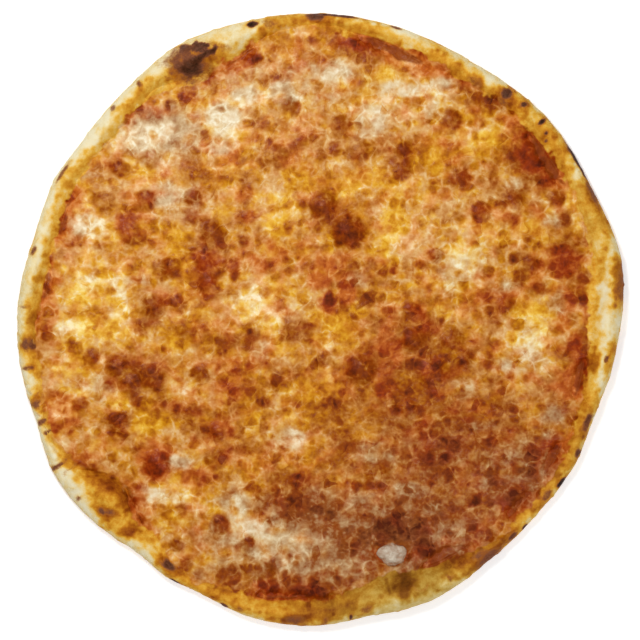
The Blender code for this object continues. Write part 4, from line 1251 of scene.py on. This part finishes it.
def baked_finish(name):
    """Dough, sauce and cheese that run into each other."""
    finish = Finish(name)
    skin, bubbles, strands = skin_of(finish)
    cheese, brown = cheese_colour(finish, skin, bubbles, strands)
    covered = (finish.field("covered") + skin).between(0.2, 0.75)
    colour = covered.blend(dough_colour(finish, skin), cheese)
    tone = finish.noise(4.0, seed=4.0) * 0.6 - skin * 0.6 + 0.5
    bay = finish.field("bay") + skin * 0.6 - strands * 0.15
    colour = bay.between(0.2, 0.75, 0.0, 0.9).blend(colour, tone.ramp(SAUCE))
    gloss = finish.noise(5.0, seed=9.0).between(-0.25, 0.25, 0.26, 0.48)
    gloss = gloss.greater(brown.between(0.65, 1.0, 0.3, 0.6)).greater(covered * -0.6 + 0.6)
    finish.bump(skin + strands * 0.08, 0.8)
    finish.set(Base_Color=colour, Roughness=gloss, Specular_IOR_Level=SHINE)
    return finish.material


def lump_finish():
    finish = Finish("lump_of_cheese")
    grain = finish.noise(3.0, detail=3)
    finish.bump(grain, 0.4)
    # Darker at its foot and lighter on top: partly the cheese's own tone, partly painted shade low
    # down and a painted highlight on top.
    colour = (finish.field("height") + grain * 1.6).ramp(LUMP_TONE_AND_SHADE)
    finish.set(Base_Color=colour, Roughness=0.45, Specular_IOR_Level=0.25)
    return finish.material


def floor_finish():
    finish = Finish("floor")
    finish.set(Base_Color=(0.9, 0.9, 0.9, 1), Roughness=0.9, Specular_IOR_Level=0.0)
    finish.set(Emission_Color=(1, 1, 1, 1), Emission_Strength=FLOOR_GLOW)
    return finish.material


# ------------------------------
# The stage: floor, lights and camera.

FRAME_WIDTH = 430.5  # what the picture shows across, at the cheese
CAMERA_HEIGHT = 1600.0
PICTURE_MIDDLE = (-0.3, -0.7)  # the picture's middle, from the tables' middle
SENSOR = 36.0
FLOOR_REACH = 3000
FLOOR_DROP = 0.3  # below the pizza, whose flat underside would flicker with it
FLOOR_GLOW = 0.3
SOFTBOX_SIZE = 260
SOFTBOXES = {"key": ((-210, 350, 790), 4.8), "fill": ((210, -350, 790), 2.4)}  # place, watts
WORLD_STRENGTH = 0.36


def make_floor():
    mesh = bpy.data.meshes.new("floor")
    sides = ((-1, -1), (1, -1), (1, 1), (-1, 1))
    corners = [(FLOOR_REACH * MM * x, FLOOR_REACH * MM * y, -FLOOR_DROP * MM) for x, y in sides]
    mesh.from_pydata(corners, [], [(0, 1, 2, 3)])
    mesh.materials.append(floor_finish())
    floor = bpy.data.objects.new("floor", mesh)
    bpy.context.scene.collection.objects.link(floor)


def add_softbox(name, place, watts):
    light = bpy.data.lights.new(name, "AREA")
    light.shape = "DISK"
    light.size = SOFTBOX_SIZE * MM
    light.energy = watts
    lamp = bpy.data.objects.new(name, light)
    lamp.location = np.array(place) * MM
    lamp.rotation_euler = lamp.location.to_track_quat("Z", "Y").to_euler()
    bpy.context.scene.collection.objects.link(lamp)


def light_world():
    world = bpy.data.worlds.new("studio")
    world.use_nodes = True
    background = world.node_tree.nodes["Background"]
    background.inputs["Color"].default_value = (1, 1, 1, 1)
    background.inputs["Strength"].default_value = WORLD_STRENGTH
    bpy.context.scene.world = world


def add_camera():
    camera = bpy.data.cameras.new("camera")
    camera.sensor_fit = "HORIZONTAL"
    camera.sensor_width = SENSOR
    camera.lens = SENSOR * (CAMERA_HEIGHT - SEAT_HEIGHT) / FRAME_WIDTH
    holder = bpy.data.objects.new("camera", camera)
    middle = SHIFT + PICTURE_MIDDLE
    holder.location = (middle[0] * MM, middle[1] * MM, CAMERA_HEIGHT * MM)
    bpy.context.scene.collection.objects.link(holder)
    bpy.context.scene.camera = holder


make_dough(baked_finish("dough"))
make_sauce(baked_finish("tomato_sauce"))
make_cheese(baked_finish("melted_cheese"))
make_lump(lump_finish())
make_floor()
for name, (place, watts) in SOFTBOXES.items():
    add_softbox(name, place, watts)
light_world()
add_camera()
bpy.context.scene.view_settings.view_transform = "Standard"
